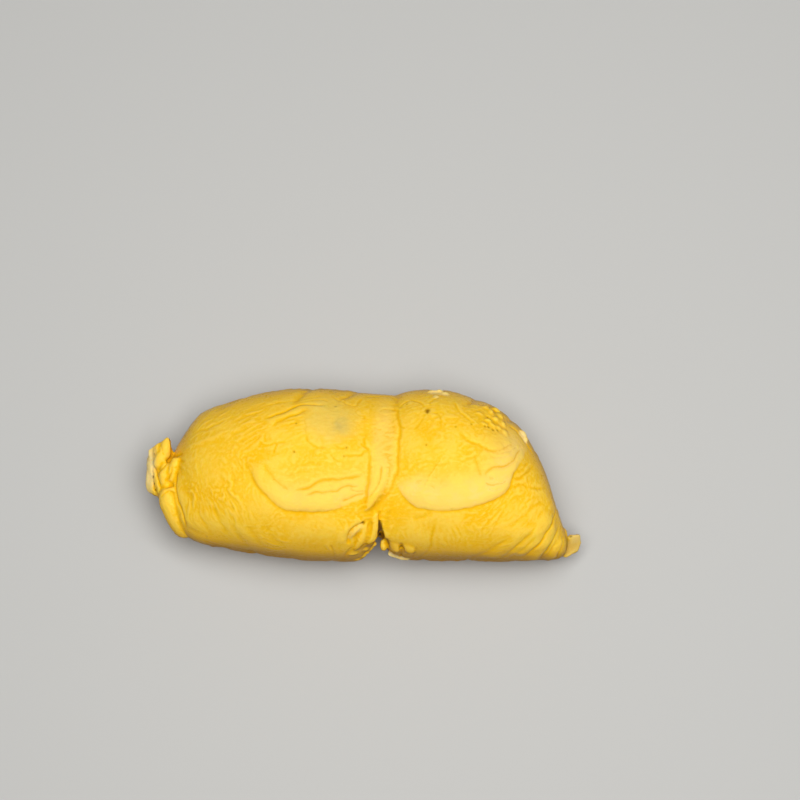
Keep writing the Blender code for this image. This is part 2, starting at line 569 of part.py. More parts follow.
def plate(outline, thickness):
    """A flat piece with the given outline, thickness millimetres through."""
    rim = [point_at(*row) for row in outline]
    middle = sum(rim, Vector()) / len(rim)
    out = sum(((a - middle).cross(b - middle) for a, b in zip(rim, rim[1:] + rim[:1])), Vector())
    out = out.normalized() * (thickness / 2 * MM)
    count = len(rim)
    points = [p + out for p in rim] + [p - out for p in rim] + [middle + out, middle - out]
    faces = []
    for k in range(count):
        n = (k + 1) % count
        faces.append((k, n, 2 * count))
        faces.append((count + n, count + k, 2 * count + 1))
        faces.append((k, count + k, count + n, n))
    return np.array([list(p) for p in points]), faces


def mesh_object(name, shells):
    """One object from several closed shells, each an array of points and a list of faces."""
    points, faces = [], []
    for shell_points, shell_faces in shells:
        start = len(points)
        points.extend(tuple(p) for p in shell_points)
        faces.extend(tuple(start + i for i in face) for face in shell_faces)
    mesh = bpy.data.meshes.new(name)
    mesh.from_pydata(points, [], faces)
    made = bpy.data.objects.new(name, mesh)
    bpy.context.scene.collection.objects.link(made)
    return made


def with_modifier(made, kind, **settings):
    """Applies one modifier to an object and keeps its result as the object's mesh."""
    modifier = made.modifiers.new(kind.lower(), kind)
    for key, value in settings.items():
        setattr(modifier, key, value)
    graph = bpy.context.evaluated_depsgraph_get()
    result = bpy.data.meshes.new_from_object(made.evaluated_get(graph))
    made.modifiers.clear()
    made.data = result
    return made


def points_of(mesh):
    points = np.empty(len(mesh.vertices) * 3)
    mesh.vertices.foreach_get("co", points)
    return points.reshape(-1, 3)


def normals_of(mesh):
    normals = np.empty(len(mesh.vertices) * 3)
    mesh.vertex_normals.foreach_get("vector", normals)
    return normals.reshape(-1, 3)


def set_points(mesh, points):
    mesh.vertices.foreach_set("co", points.ravel())
    mesh.update()


def tree_of(mesh):
    return BVHTree.FromPolygons([v.co for v in mesh.vertices], [tuple(p.vertices) for p in mesh.polygons])


def near_path(skin, skin_out, path, path_out, reach):
    """For the skin points within reach of a path: their index, signed distance and share along it.
    The distance is positive on the left hand of someone who walks the path on the skin."""
    low, high = path.min(axis=0) - reach, path.max(axis=0) + reach
    index = np.nonzero(np.all((skin > low) & (skin < high), axis=1))[0]
    starts, steps = path[:-1], np.diff(path, axis=0)
    squares = np.maximum((steps**2).sum(axis=1), 1e-12)
    offset = skin[index][:, None, :] - starts[None]
    t = np.clip((offset * steps[None]).sum(axis=2) / squares, 0, 1)
    gap = offset - t[:, :, None] * steps[None]
    distance = np.linalg.norm(gap, axis=2)
    nearest = distance.argmin(axis=1)
    rows = np.arange(len(index))
    lefts = np.cross(path_out[:-1], steps)
    side = np.sign((gap[rows, nearest] * lefts[nearest]).sum(axis=1))
    lengths = np.sqrt(squares)
    run = np.concatenate([[0], np.cumsum(lengths)])
    share = (run[nearest] + t[rows, nearest] * lengths[nearest]) / run[-1]
    facing = (skin_out[index] * path_out[nearest]).sum(axis=1) > 0.2
    kept = (distance[rows, nearest] < reach) & facing
    return index[kept], (side * distance[rows, nearest])[kept], share[kept], lefts[nearest][kept]


def faded(share):
    return smooth_step(0, FADE_SHARE, share) * smooth_step(0, FADE_SHARE, 1 - share)


def fold_path(hits):
    points, outs = landed(hits)
    rows = smooth_path(np.hstack([points, outs]), 5)
    outs = rows[:, 3:] / np.linalg.norm(rows[:, 3:], axis=1, keepdims=True)
    return rows[:, :3], outs


def press_lip(shift, skin, skin_out, hits, lip):
    """Raises the skin beside a path to a rounded edge, and creases the foot of that edge."""
    path, path_out = fold_path(hits)
    edge, reach = lip["edge"] * MM, lip["reach"] * MM
    index, distance, share, lefts = near_path(skin, skin_out, path, path_out, 3.0 * reach + edge)
    raised = distance if lip["left_is_raised"] else -distance
    fade = faded(share)
    rounded = np.sin(0.5 * np.pi * np.clip(raised / edge, 0, 1))
    up = lip["height"] * MM * rounded * np.exp(-((np.maximum(raised - edge, 0) / reach) ** 2))
    foot = np.exp(-(((raised + 0.4 * LIP_FOOT_WIDTH) / LIP_FOOT_WIDTH) ** 2))
    shift[index] += skin_out[index] * ((up - lip["depth"] * MM * foot) * fade)[:, None]
    over = lefts / np.linalg.norm(lefts, axis=1, keepdims=True)
    over = over * (-1.0 if lip["left_is_raised"] else 1.0)
    roll = 0.22 * lip["height"] * MM * np.exp(-(((raised - 0.35 * edge) / (0.5 * edge)) ** 2)) * fade
    shift[index] += over * roll[:, None]


def press_crease(shift, skin, skin_out, hits, half_width, depth):
    """A narrow valley with soft banks, the bank on its left hand a little higher."""
    path, path_out = fold_path(hits)
    index, distance, share, _ = near_path(skin, skin_out, path, path_out, 4.5 * half_width * MM)
    across = distance / (half_width * MM)
    valley = np.exp(-(np.abs(across) ** 1.4))
    bank = 0.16 * np.exp(-((across - 1.9) ** 2) * 0.7) + 0.05 * np.exp(-((across + 1.9) ** 2) * 0.7)
    bank = bank * min(1.0, 0.5 / abs(depth))
    shift[index] -= skin_out[index] * (depth * MM * (valley - bank) * faded(share))[:, None]


def press_folds(mesh):
    """Moves the skin by the lips, creases and swells."""
    skin, skin_out, tree = points_of(mesh), normals_of(mesh), tree_of(mesh)
    shift = np.zeros_like(skin)
    for lip in LIPS.values():
        press_lip(shift, skin, skin_out, seen_by_eye(tree, lip["path"]), lip)
    for look, creases in (
        (seen_by_eye, CREASES),
        (seen_from_back, BACK_CREASES),
        (seen_from_front, LOW_FRONT_CREASES),
        (seen_from_below, UNDER_CREASES),
    ):
        for path, half_width, depth in creases:
            press_crease(shift, skin, skin_out, look(tree, path), half_width, depth)
    for wavelength, amplitude in SWELLS:
        scale = 1 / (wavelength * MM)
        swell = [noise.noise(Vector(p) * scale + NOISE_SEED_OFFSET) for p in skin]
        shift += skin_out * (np.array(swell) * amplitude * MM)[:, None]
    set_points(mesh, skin + shift)


def rest_flat(mesh):
    """Presses the underside flat at z = 0 and puts the origin under the middle of the segment."""
    points = points_of(mesh)
    points[:, 2] = np.maximum(points[:, 2], 0.0)
    low, high = points.min(axis=0), points.max(axis=0)
    points[:, :2] -= (low[:2] + high[:2]) / 2
    set_points(mesh, points)


def flesh_material():
    material = bpy.data.materials.new("durian_flesh")
    material.use_nodes = True
    shader = material.node_tree.nodes["Principled BSDF"]
    shader.inputs["Base Color"].default_value = FLESH_COLOUR
    shader.inputs["Roughness"].default_value = FLESH_ROUGHNESS
    shader.inputs["Metallic"].default_value = 0.0
    return material


def make_flesh():
    loaf = loaf_surface()
    tree = BVHTree.FromPolygons([Vector(p) for p in loaf[0]], loaf[1])
    shells = [loaf]
    shells += [skin_roll(tree, roll) for roll in SKIN_ROLLS.values()]
    shells += [free_roll(rows) for rows in END_ROLLS.values()]
    shells += [skin_knob(tree, knob) for knob in SKIN_KNOBS]
    shells += [free_knob(knob) for knob in END_KNOBS]
    shells += [plate(outline, thickness) for outline, thickness in PLATES.values()]
    flesh = mesh_object(NODE, shells)
    with_modifier(flesh, "REMESH", mode="VOXEL", voxel_size=FUSING_VOXEL)
    with_modifier(flesh, "SMOOTH", factor=0.5, iterations=FUSING_SMOOTH_STEPS)
    press_folds(flesh.data)
    with_modifier(flesh, "SMOOTH", factor=0.4, iterations=1)
    flesh.data.calc_loop_triangles()
    ratio = FINAL_TRIANGLES / len(flesh.data.loop_triangles)
    with_modifier(flesh, "DECIMATE", ratio=ratio, use_collapse_triangulate=True)
    rest_flat(flesh.data)
    flesh.data.shade_smooth()
    flesh.data.materials.clear()
    flesh.data.materials.append(flesh_material())
    return flesh


clear_scene()
make_flesh()
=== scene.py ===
"""A peeled durian segment of two lobes that grew together, lying on a pale floor.

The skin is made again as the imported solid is, with finer steps: a loft gives the two-lobed loaf, rolls
and knobs of flesh are fused onto it, and folds, creases and wrinkles are pressed into its surface.
"""

import math

import bpy
import numpy as np
from mathutils import Matrix, Vector, noise
from mathutils.bvhtree import BVHTree
from mathutils.kdtree import KDTree


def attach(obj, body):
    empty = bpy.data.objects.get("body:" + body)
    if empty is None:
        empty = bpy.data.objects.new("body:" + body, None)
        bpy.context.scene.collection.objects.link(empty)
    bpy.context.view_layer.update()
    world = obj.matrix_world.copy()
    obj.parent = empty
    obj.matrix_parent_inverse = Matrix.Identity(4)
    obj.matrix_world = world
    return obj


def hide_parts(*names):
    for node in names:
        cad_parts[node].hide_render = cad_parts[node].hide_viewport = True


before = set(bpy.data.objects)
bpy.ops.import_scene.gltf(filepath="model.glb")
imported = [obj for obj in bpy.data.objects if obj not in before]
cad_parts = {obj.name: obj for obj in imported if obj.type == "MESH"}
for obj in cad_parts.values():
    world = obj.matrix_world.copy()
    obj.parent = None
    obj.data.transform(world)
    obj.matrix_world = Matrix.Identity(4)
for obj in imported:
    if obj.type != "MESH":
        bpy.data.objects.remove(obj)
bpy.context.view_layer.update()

MM = 0.001

# The segment is modelled a little off the origin, and moved by this at the end
ORIGIN_SHIFT = Vector((-0.57, -0.55, 0.0)) * MM

# The camera, in metres. Folds are laid out as it sees them, in pixels of the 800 x 800 picture.
EYE = Vector((11.9, -92.0, 715.4)) * MM
AIM = Vector((11.87, 24.06, 22.0)) * MM
LENS_MM = 100
VIEW_CENTRE_PX = (362.5, 475.0)
PX_PER_MM_X = 3.16
PX_PER_MM_Y = 3.117
VIEW_PLANE_Z = 22.0 * MM

# The loaf, in millimetres: x, front y, back y, lowest z, top z. A lowest z under 0 is pressed flat.
STATIONS = (
    (-60.6, -7.0, -0.4, 17.0, 22.0),
    (-59.9, -12.4, 7.0, 11.0, 25.5),
    (-57.2, -16.6, 13.2, 6.0, 29.0),
    (-50.8, -20.4, 20.6, 2.2, 35.0),
    (-40.0, -22.8, 24.6, -0.4, 40.6),
    (-27.0, -25.4, 26.9, -1.1, 44.0),
    (-13.0, -26.4, 27.4, -1.2, 45.0),
    (-2.0, -26.2, 27.0, -1.0, 43.8),
    (8.0, -25.4, 26.6, -0.6, 42.4),
    (17.0, -26.1, 27.6, -1.0, 43.6),
    (28.0, -26.3, 27.3, -1.2, 44.8),
    (39.0, -26.2, 23.4, -1.1, 43.6),
    (48.0, -26.0, 17.0, -0.6, 40.0),
    (55.5, -25.7, 6.0, 1.0, 34.5),
    (60.6, -25.6, -6.8, 4.0, 27.5),
    (63.8, -24.2, -16.0, 7.5, 21.0),
    (64.8, -21.7, -19.0, 11.5, 15.5),
)
RINGS_BETWEEN_STATIONS = 16
POINTS_AROUND = 160
# Where a cross-section is widest, as a share of its height, and its powers (2 is an ellipse)
WIDEST_LEVEL = 0.44
POWER_BACK_TOP = 2.1
POWER_FRONT_TOP = 2.35
POWER_BELOW = 2.35

# The cleft between the lobes, in millimetres
CLEFT_FRONT_X = 5.0
CLEFT_BACK_X = 10.6
CLEFT_FRONT_DEPTH = 6.2
CLEFT_FRONT_WIDTH = 3.2
VALLEY_DEPTH = 0.45
VALLEY_BELOW_DEPTH = 2.2
VALLEY_WIDTH = 3.6
# Where its seam slants and its front starts along y, and where its front and its lower valley end upwards
SEAM_SLANT_Y = (-24.0, 14.0)
CLEFT_FRONT_Y = (-11.0, -23.0)
CLEFT_FRONT_TOP_Z = (26.0, 34.0)
VALLEY_BELOW_Z = (4.0, 20.0)
# The loaf's middle height, half depth and half height, which give the way inwards
MIDDLE_Z = 19.0
HALF_DEPTH = 27.0
HALF_HEIGHT = 24.0
# The slit that runs on upwards from the cleft: where it lies, how deep it is, where it starts and
# is widest along y, its half width at those two places, and over what heights it starts (mm)
SLIT_X = 5.7
SLIT_DEPTH = 4.5
SLIT_REACH = (-16.2, -22.5)
SLIT_WIDTHS = (0.12, 0.62)
SLIT_Z = (16.0, 24.0)

# Fused rolls on the skin: view pixel, half width and height (mm) at each point of the roll's path
SKIN_ROLLS = {
    "bridge": ((384, 425, 4.4, -0.5), (383, 440, 4.6, -0.3), (382.5, 455, 4.6, 0.05), (381, 470, 4, 0.55),
        (377.5, 485, 3, 1.05), (372, 499, 2.1, 1.3), (366, 512, 1.3, 1)),
    "torn_flap": ((375.6, 510, 1.5, 0.6), (376, 521, 1.8, 1), (374, 532, 2.1, 1.15),
        (370.5, 541.5, 2.3, 1.1), (363, 550, 1.8, 0.7)),
    "flap_ridge": ((367, 521, 1.1, 0.1), (365, 530, 1.7, 0.5), (361.5, 540, 2, 0.65),
        (354, 550, 1.7, 0.45)),
    "shred": ((362, 525, 0.5, 0.3), (358, 529, 0.9, 0.5), (353.5, 533.5, 1, 0.5), (349.5, 538, 0.5, 0.3)),
    "left_tooth": ((390, 536, 1.6, -0.7), (391, 541, 2.2, -0.1), (392.6, 546, 2.6, 0.7),
        (394, 551, 2.2, 0.6)),
    "right_tooth": ((405, 538, 1.5, -0.7), (407, 544, 2.1, 0), (409.3, 549, 2.4, 0.7),
        (411.3, 553, 2, 0.5)),
    "right_edge_roll": ((462, 399, 2, -0.3), (478, 406, 3, 0.2), (492, 414, 3.6, 0.35),
        (503, 423, 3.4, 0.3), (513, 436, 2, -0.3)),
}
# Fused knobs on the skin: view pixel, radii along x, along y and outwards, sink, turn (mm, degrees)
SKIN_KNOBS = (
    (486, 408.5, 1.7, 1.2, 1.2, 0.15, 20), (490.5, 412.5, 1.2, 1.5, 1.2, 0.15, 0),
    (496, 411, 1.8, 1.3, 1.2, 0.15, -30), (499.5, 416.5, 1.4, 1.9, 1.2, 0.2, 15),
    (495.5, 419, 1.5, 1.1, 1.1, 0.15, 40), (503, 424, 1.3, 1.6, 1, 0.25, 0),
    (505, 432, 1.4, 1.6, 0.9, 0.35, 20), (488, 420.5, 1.3, 0.9, 1, 0.2, 10),
    (484, 424, 1, 0.8, 0.8, 0.25, 0), (492.5, 425, 1.2, 0.8, 0.9, 0.25, -20),
    (498.5, 427, 1.1, 0.9, 0.8, 0.25, 0), (480, 414, 1.6, 0.9, 0.9, 0.45, -30),
    (432.5, 391.5, 1.8, 0.8, 0.8, 0, 5), (439.5, 391.5, 1.6, 0.9, 1, 0, -20),
    (445.5, 393, 1.3, 0.8, 0.8, 0.1, 10), (436, 396, 0.8, 1.1, 0.6, 0.2, 0),
    (521.5, 435, 0.9, 1.7, 1.2, 0, 35), (524.5, 440, 0.8, 1, 1, 0, 0),
    (354, 552.5, 2.2, 1.5, 1.1, 0.75, 35),
)
# Rolls at the ends and the cleft where flesh tore: view pixel, z and radius (mm)
END_ROLLS = {
    "thumb": ((172.5, 487, 24.2, 2.4), (172, 492.5, 24.2, 3.3), (173, 500, 23.6, 3.8),
        (177, 508.5, 22.5, 3.9), (181.3, 517, 20.7, 3.8), (186, 524.5, 18, 3.4), (190, 530, 14.8, 2.6)),
    "thumb_rim": ((163.2, 497, 25.6, 0.45), (166, 492, 26.6, 0.6), (171.8, 489.2, 27.4, 0.65),
        (177.6, 489.6, 27.7, 0.6), (180.2, 495, 27.5, 0.45)),
    "scar_rim": ((153, 452, 22.6, 1.3), (153.2, 459, 22.2, 1.6), (152.8, 467, 21.8, 1.7),
        (152.2, 475, 21.2, 1.9), (152.8, 484, 20.4, 2.1), (156.5, 493, 19.6, 2)),
    "spike": ((168.9, 436.6, 26.4, 0.4), (167.6, 441, 26.2, 1.2), (166.6, 446, 26, 1.8),
        (165.5, 452, 25.6, 2), (164, 459, 25, 1.6)),
    "spike_front": ((162.5, 442.5, 25, 0.7), (159.5, 447, 25, 1.4), (159, 453, 25, 1.5),
        (160, 459, 24.6, 1.4)),
    "knuckle": ((158.2, 467.5, 24.2, 1.3), (160, 462.5, 25, 1.9), (162.4, 457, 25.6, 2),
        (165, 451.5, 25.8, 1.5)),
    "crevice_rim": ((158, 474, 24.2, 0.7), (159.5, 481, 24.4, 0.8), (161.8, 487.5, 24.4, 0.8),
        (160.8, 493, 23.2, 0.9)),
    "pleat": ((166, 484, 24.4, 1.6), (166.5, 476, 25.4, 2.1), (168.5, 468, 26, 1.9),
        (170.5, 462, 26.4, 1.2)),
    "pleat_behind": ((172.5, 484, 25.2, 1.4), (174.5, 474, 26.6, 1.8), (176, 465, 27.6, 1.7),
        (178, 457, 28, 1.2)),
    "slit_knob": ((382.8, 537.5, 26.5, 0.8), (383.6, 543.5, 25, 1.15), (384.3, 548.2, 23, 0.9)),
    "torn_rim": ((388.6, 549.5, 20.2, 0.35), (389.8, 552.2, 19.8, 0.65), (392.4, 554.2, 19.4, 0.42),
        (395.2, 554.2, 19.2, 0.65), (398.4, 556.2, 18.8, 0.4), (401.6, 556.8, 18.5, 0.52),
        (405, 557.2, 18.2, 0.36), (409, 558.8, 18, 0.3)),
    "torn_edge": ((374.5, 542.5, 24.8, 0.5), (371, 545.8, 24, 0.7), (367, 549.2, 22.6, 0.75),
        (363, 552.5, 21.2, 0.75), (357.5, 555.4, 19.8, 0.6)),
    "neck": ((157, 470, 19, 4), (166, 475, 19.5, 6.4), (178, 482, 19.5, 8)),
    "end_lump": ((546.5, 546, 13, 4), (555, 539, 15.5, 3.5), (558, 525, 18, 2.4)),
}
# Free knobs: view pixel and z of the middle, three radii (mm), turn about z (degrees)
END_KNOBS = (
    (160, 464, 21.4, 4.2, 6.4, 3.6, 0), (160, 482, 20.6, 3.9, 4.6, 3.2, 0),
    (374.5, 542.5, 25, 1, 0.8, 0.8, 40), (371, 546, 24.2, 1.3, 0.7, 0.8, 40),
    (367.2, 549.5, 22.6, 0.9, 0.9, 0.7, 40), (364, 552.5, 21.4, 1.3, 0.8, 0.7, 40),
    (358.5, 555.8, 20, 1.5, 0.7, 0.7, 20),
)
# Thin plates of torn flesh: thickness, and the outline as view pixel and z (mm)
PLATES = {
    "spike_plate": (3, (168.8, 437, 25.4), (171.2, 440.5, 25.2), (171.6, 446, 25), (173.2, 450.5, 25),
        (172.5, 456, 24.6), (168, 462, 24), (158, 462, 23.4), (151, 458, 22.8), (149.3, 450, 22.8),
        (155.5, 445.6, 23.8), (163, 441.4, 24.8)),
    "end_flap": (1.5, (562, 538, 13), (569, 533.2, 13.6), (578.3, 532.8, 12.4), (578.6, 540.5, 10.6),
        (575.2, 548.4, 9.6), (569.6, 551.4, 9.6), (563.5, 555, 9.4), (557, 552, 10.6)),
}
ROLL_POINTS_AROUND = 16
ROLL_STEPS = 6
# How deep a roll lies in the skin (mm), and the share of its length over which each end is rounded
ROLL_SINK = 0.8
ROLL_END_SHARE = 0.12
KNOB_RINGS = 10
KNOB_POINTS_AROUND = 16

# Folds pressed into the skin: paths are in view pixels and profiles in millimetres.
# A lip raises the skin on one side of its path: height, width of the rounded edge, reach beyond it,
# depth of the crease at the foot, the side (1 left, -1 right) and the path.
LIPS = {
    "left_crescent": (0.52, 2.2, 6, 0.1, 1, (246.5, 453), (249, 466), (255, 478.5), (263, 490),
        (273.5, 500), (280, 506), (289.5, 509.7), (304, 511), (320.5, 510.7), (334, 509.5), (343, 506.5),
        (352, 502.5)),
    "right_crescent": (0.72, 2.6, 8, 0.12, 1, (394, 478), (398.4, 487), (404, 496), (412, 504),
        (420, 507.4), (431.7, 509.1), (444.3, 509.7), (460.4, 508.6), (476.4, 505.1), (489, 500.5),
        (499.4, 496), (507.4, 489), (510.3, 481), (512.5, 474.5), (516.6, 467.2), (521.2, 460.4),
        (525, 453)),
    "bridge_right_edge": (0.16, 1.1, 4, 0.2, -1, (398.4, 403), (397.3, 409), (397.5, 418), (399.6, 426),
        (399.6, 431.7), (398, 444.3), (397.3, 460), (397.3, 468.4), (394, 477.6), (389.2, 490),
        (383.5, 497), (378, 504), (371, 510.5)),
    "bridge_left_edge": (0.1, 1, 3, 0.2, 1, (364.6, 432.2), (366.3, 445.4), (369.7, 449.5), (370.6, 460.4),
        (369.7, 477.6), (368, 488), (367.4, 496), (367.4, 505)),
    "right_shoulder_fold": (0.28, 1.2, 3.5, 0.12, 1, (454.6, 431), (460.4, 434), (467.2, 439.7),
        (477.6, 444.3), (490.2, 450), (499.4, 449.5), (508.6, 445.4), (515.5, 442)),
    "right_inner_fold": (0.38, 1.1, 2.2, 0.2, -1, (483.3, 477.6), (486.8, 471.8), (492.5, 468.4),
        (501.7, 467.2), (507.4, 464.9), (513.2, 460.4), (517.8, 453.5), (521.2, 447.7)),
    "far_groove": (0.35, 0.9, 2.5, 0.3, -1, (261.8, 420.8), (269.8, 418), (278, 415), (286, 411.6),
        (294, 407.6), (302, 404.7), (309, 404.1), (320.4, 404.7), (328.4, 403)),
    "thumb_edge": (0.45, 1.2, 2.6, 0.5, 1, (179.8, 470), (178.3, 479), (178.2, 488), (180.2, 497.3),
        (182.8, 505), (185.8, 512.6), (188.2, 520.3), (190.4, 527)),
    "crevice_edge": (0.35, 1, 2, 0.55, -1, (366, 519), (363.6, 522.7), (359.2, 523.8), (353.3, 527),
        (349.7, 531.5), (348.2, 538), (349, 544)),
    "end_fold_1": (0.4, 2.2, 3.6, 0.14, 1, (492.5, 559), (498, 556.5), (504.8, 551.4), (513, 545),
        (520, 538.5), (528, 531), (534, 522)),
    "end_fold_2": (0.8, 2.4, 4, 0.25, 1, (513.5, 558.5), (520.5, 554.6), (529.6, 547.3), (538, 539),
        (543, 531.5), (548.7, 522.4), (552.5, 514), (554, 505)),
    "end_fold_3": (0.8, 2.2, 3.4, 0.3, 1, (535.5, 556.8), (541, 552), (547, 545.5), (552, 536.5),
        (555.5, 529), (557, 523)),
    "end_fold_4": (0.55, 1.2, 2.4, 0.5, 1, (551, 557), (557, 549.8), (561, 541.5), (561, 533)),
}
# How pale the pad inside a lip is, partly its own paler tone and partly painted highlight, and between
# which shares of the lip's length it comes in
PADS = {"left_crescent": (0.65, 0.15, 0.5), "right_crescent": (1.0, 0.0, 0.1)}
# Where a pad starts beside its lip, where it starts to fade and over what distance it does so (mm)
PAD_RIM = (-0.2, 0.7)
PAD_FLAT = 3
PAD_FADE = 6.5
# Half width of the crease at a lip's foot (mm)
FOOT_WIDTH = 0.55
# How far a lip hangs over its foot, as a share of its height
OVERHANG = 0.22

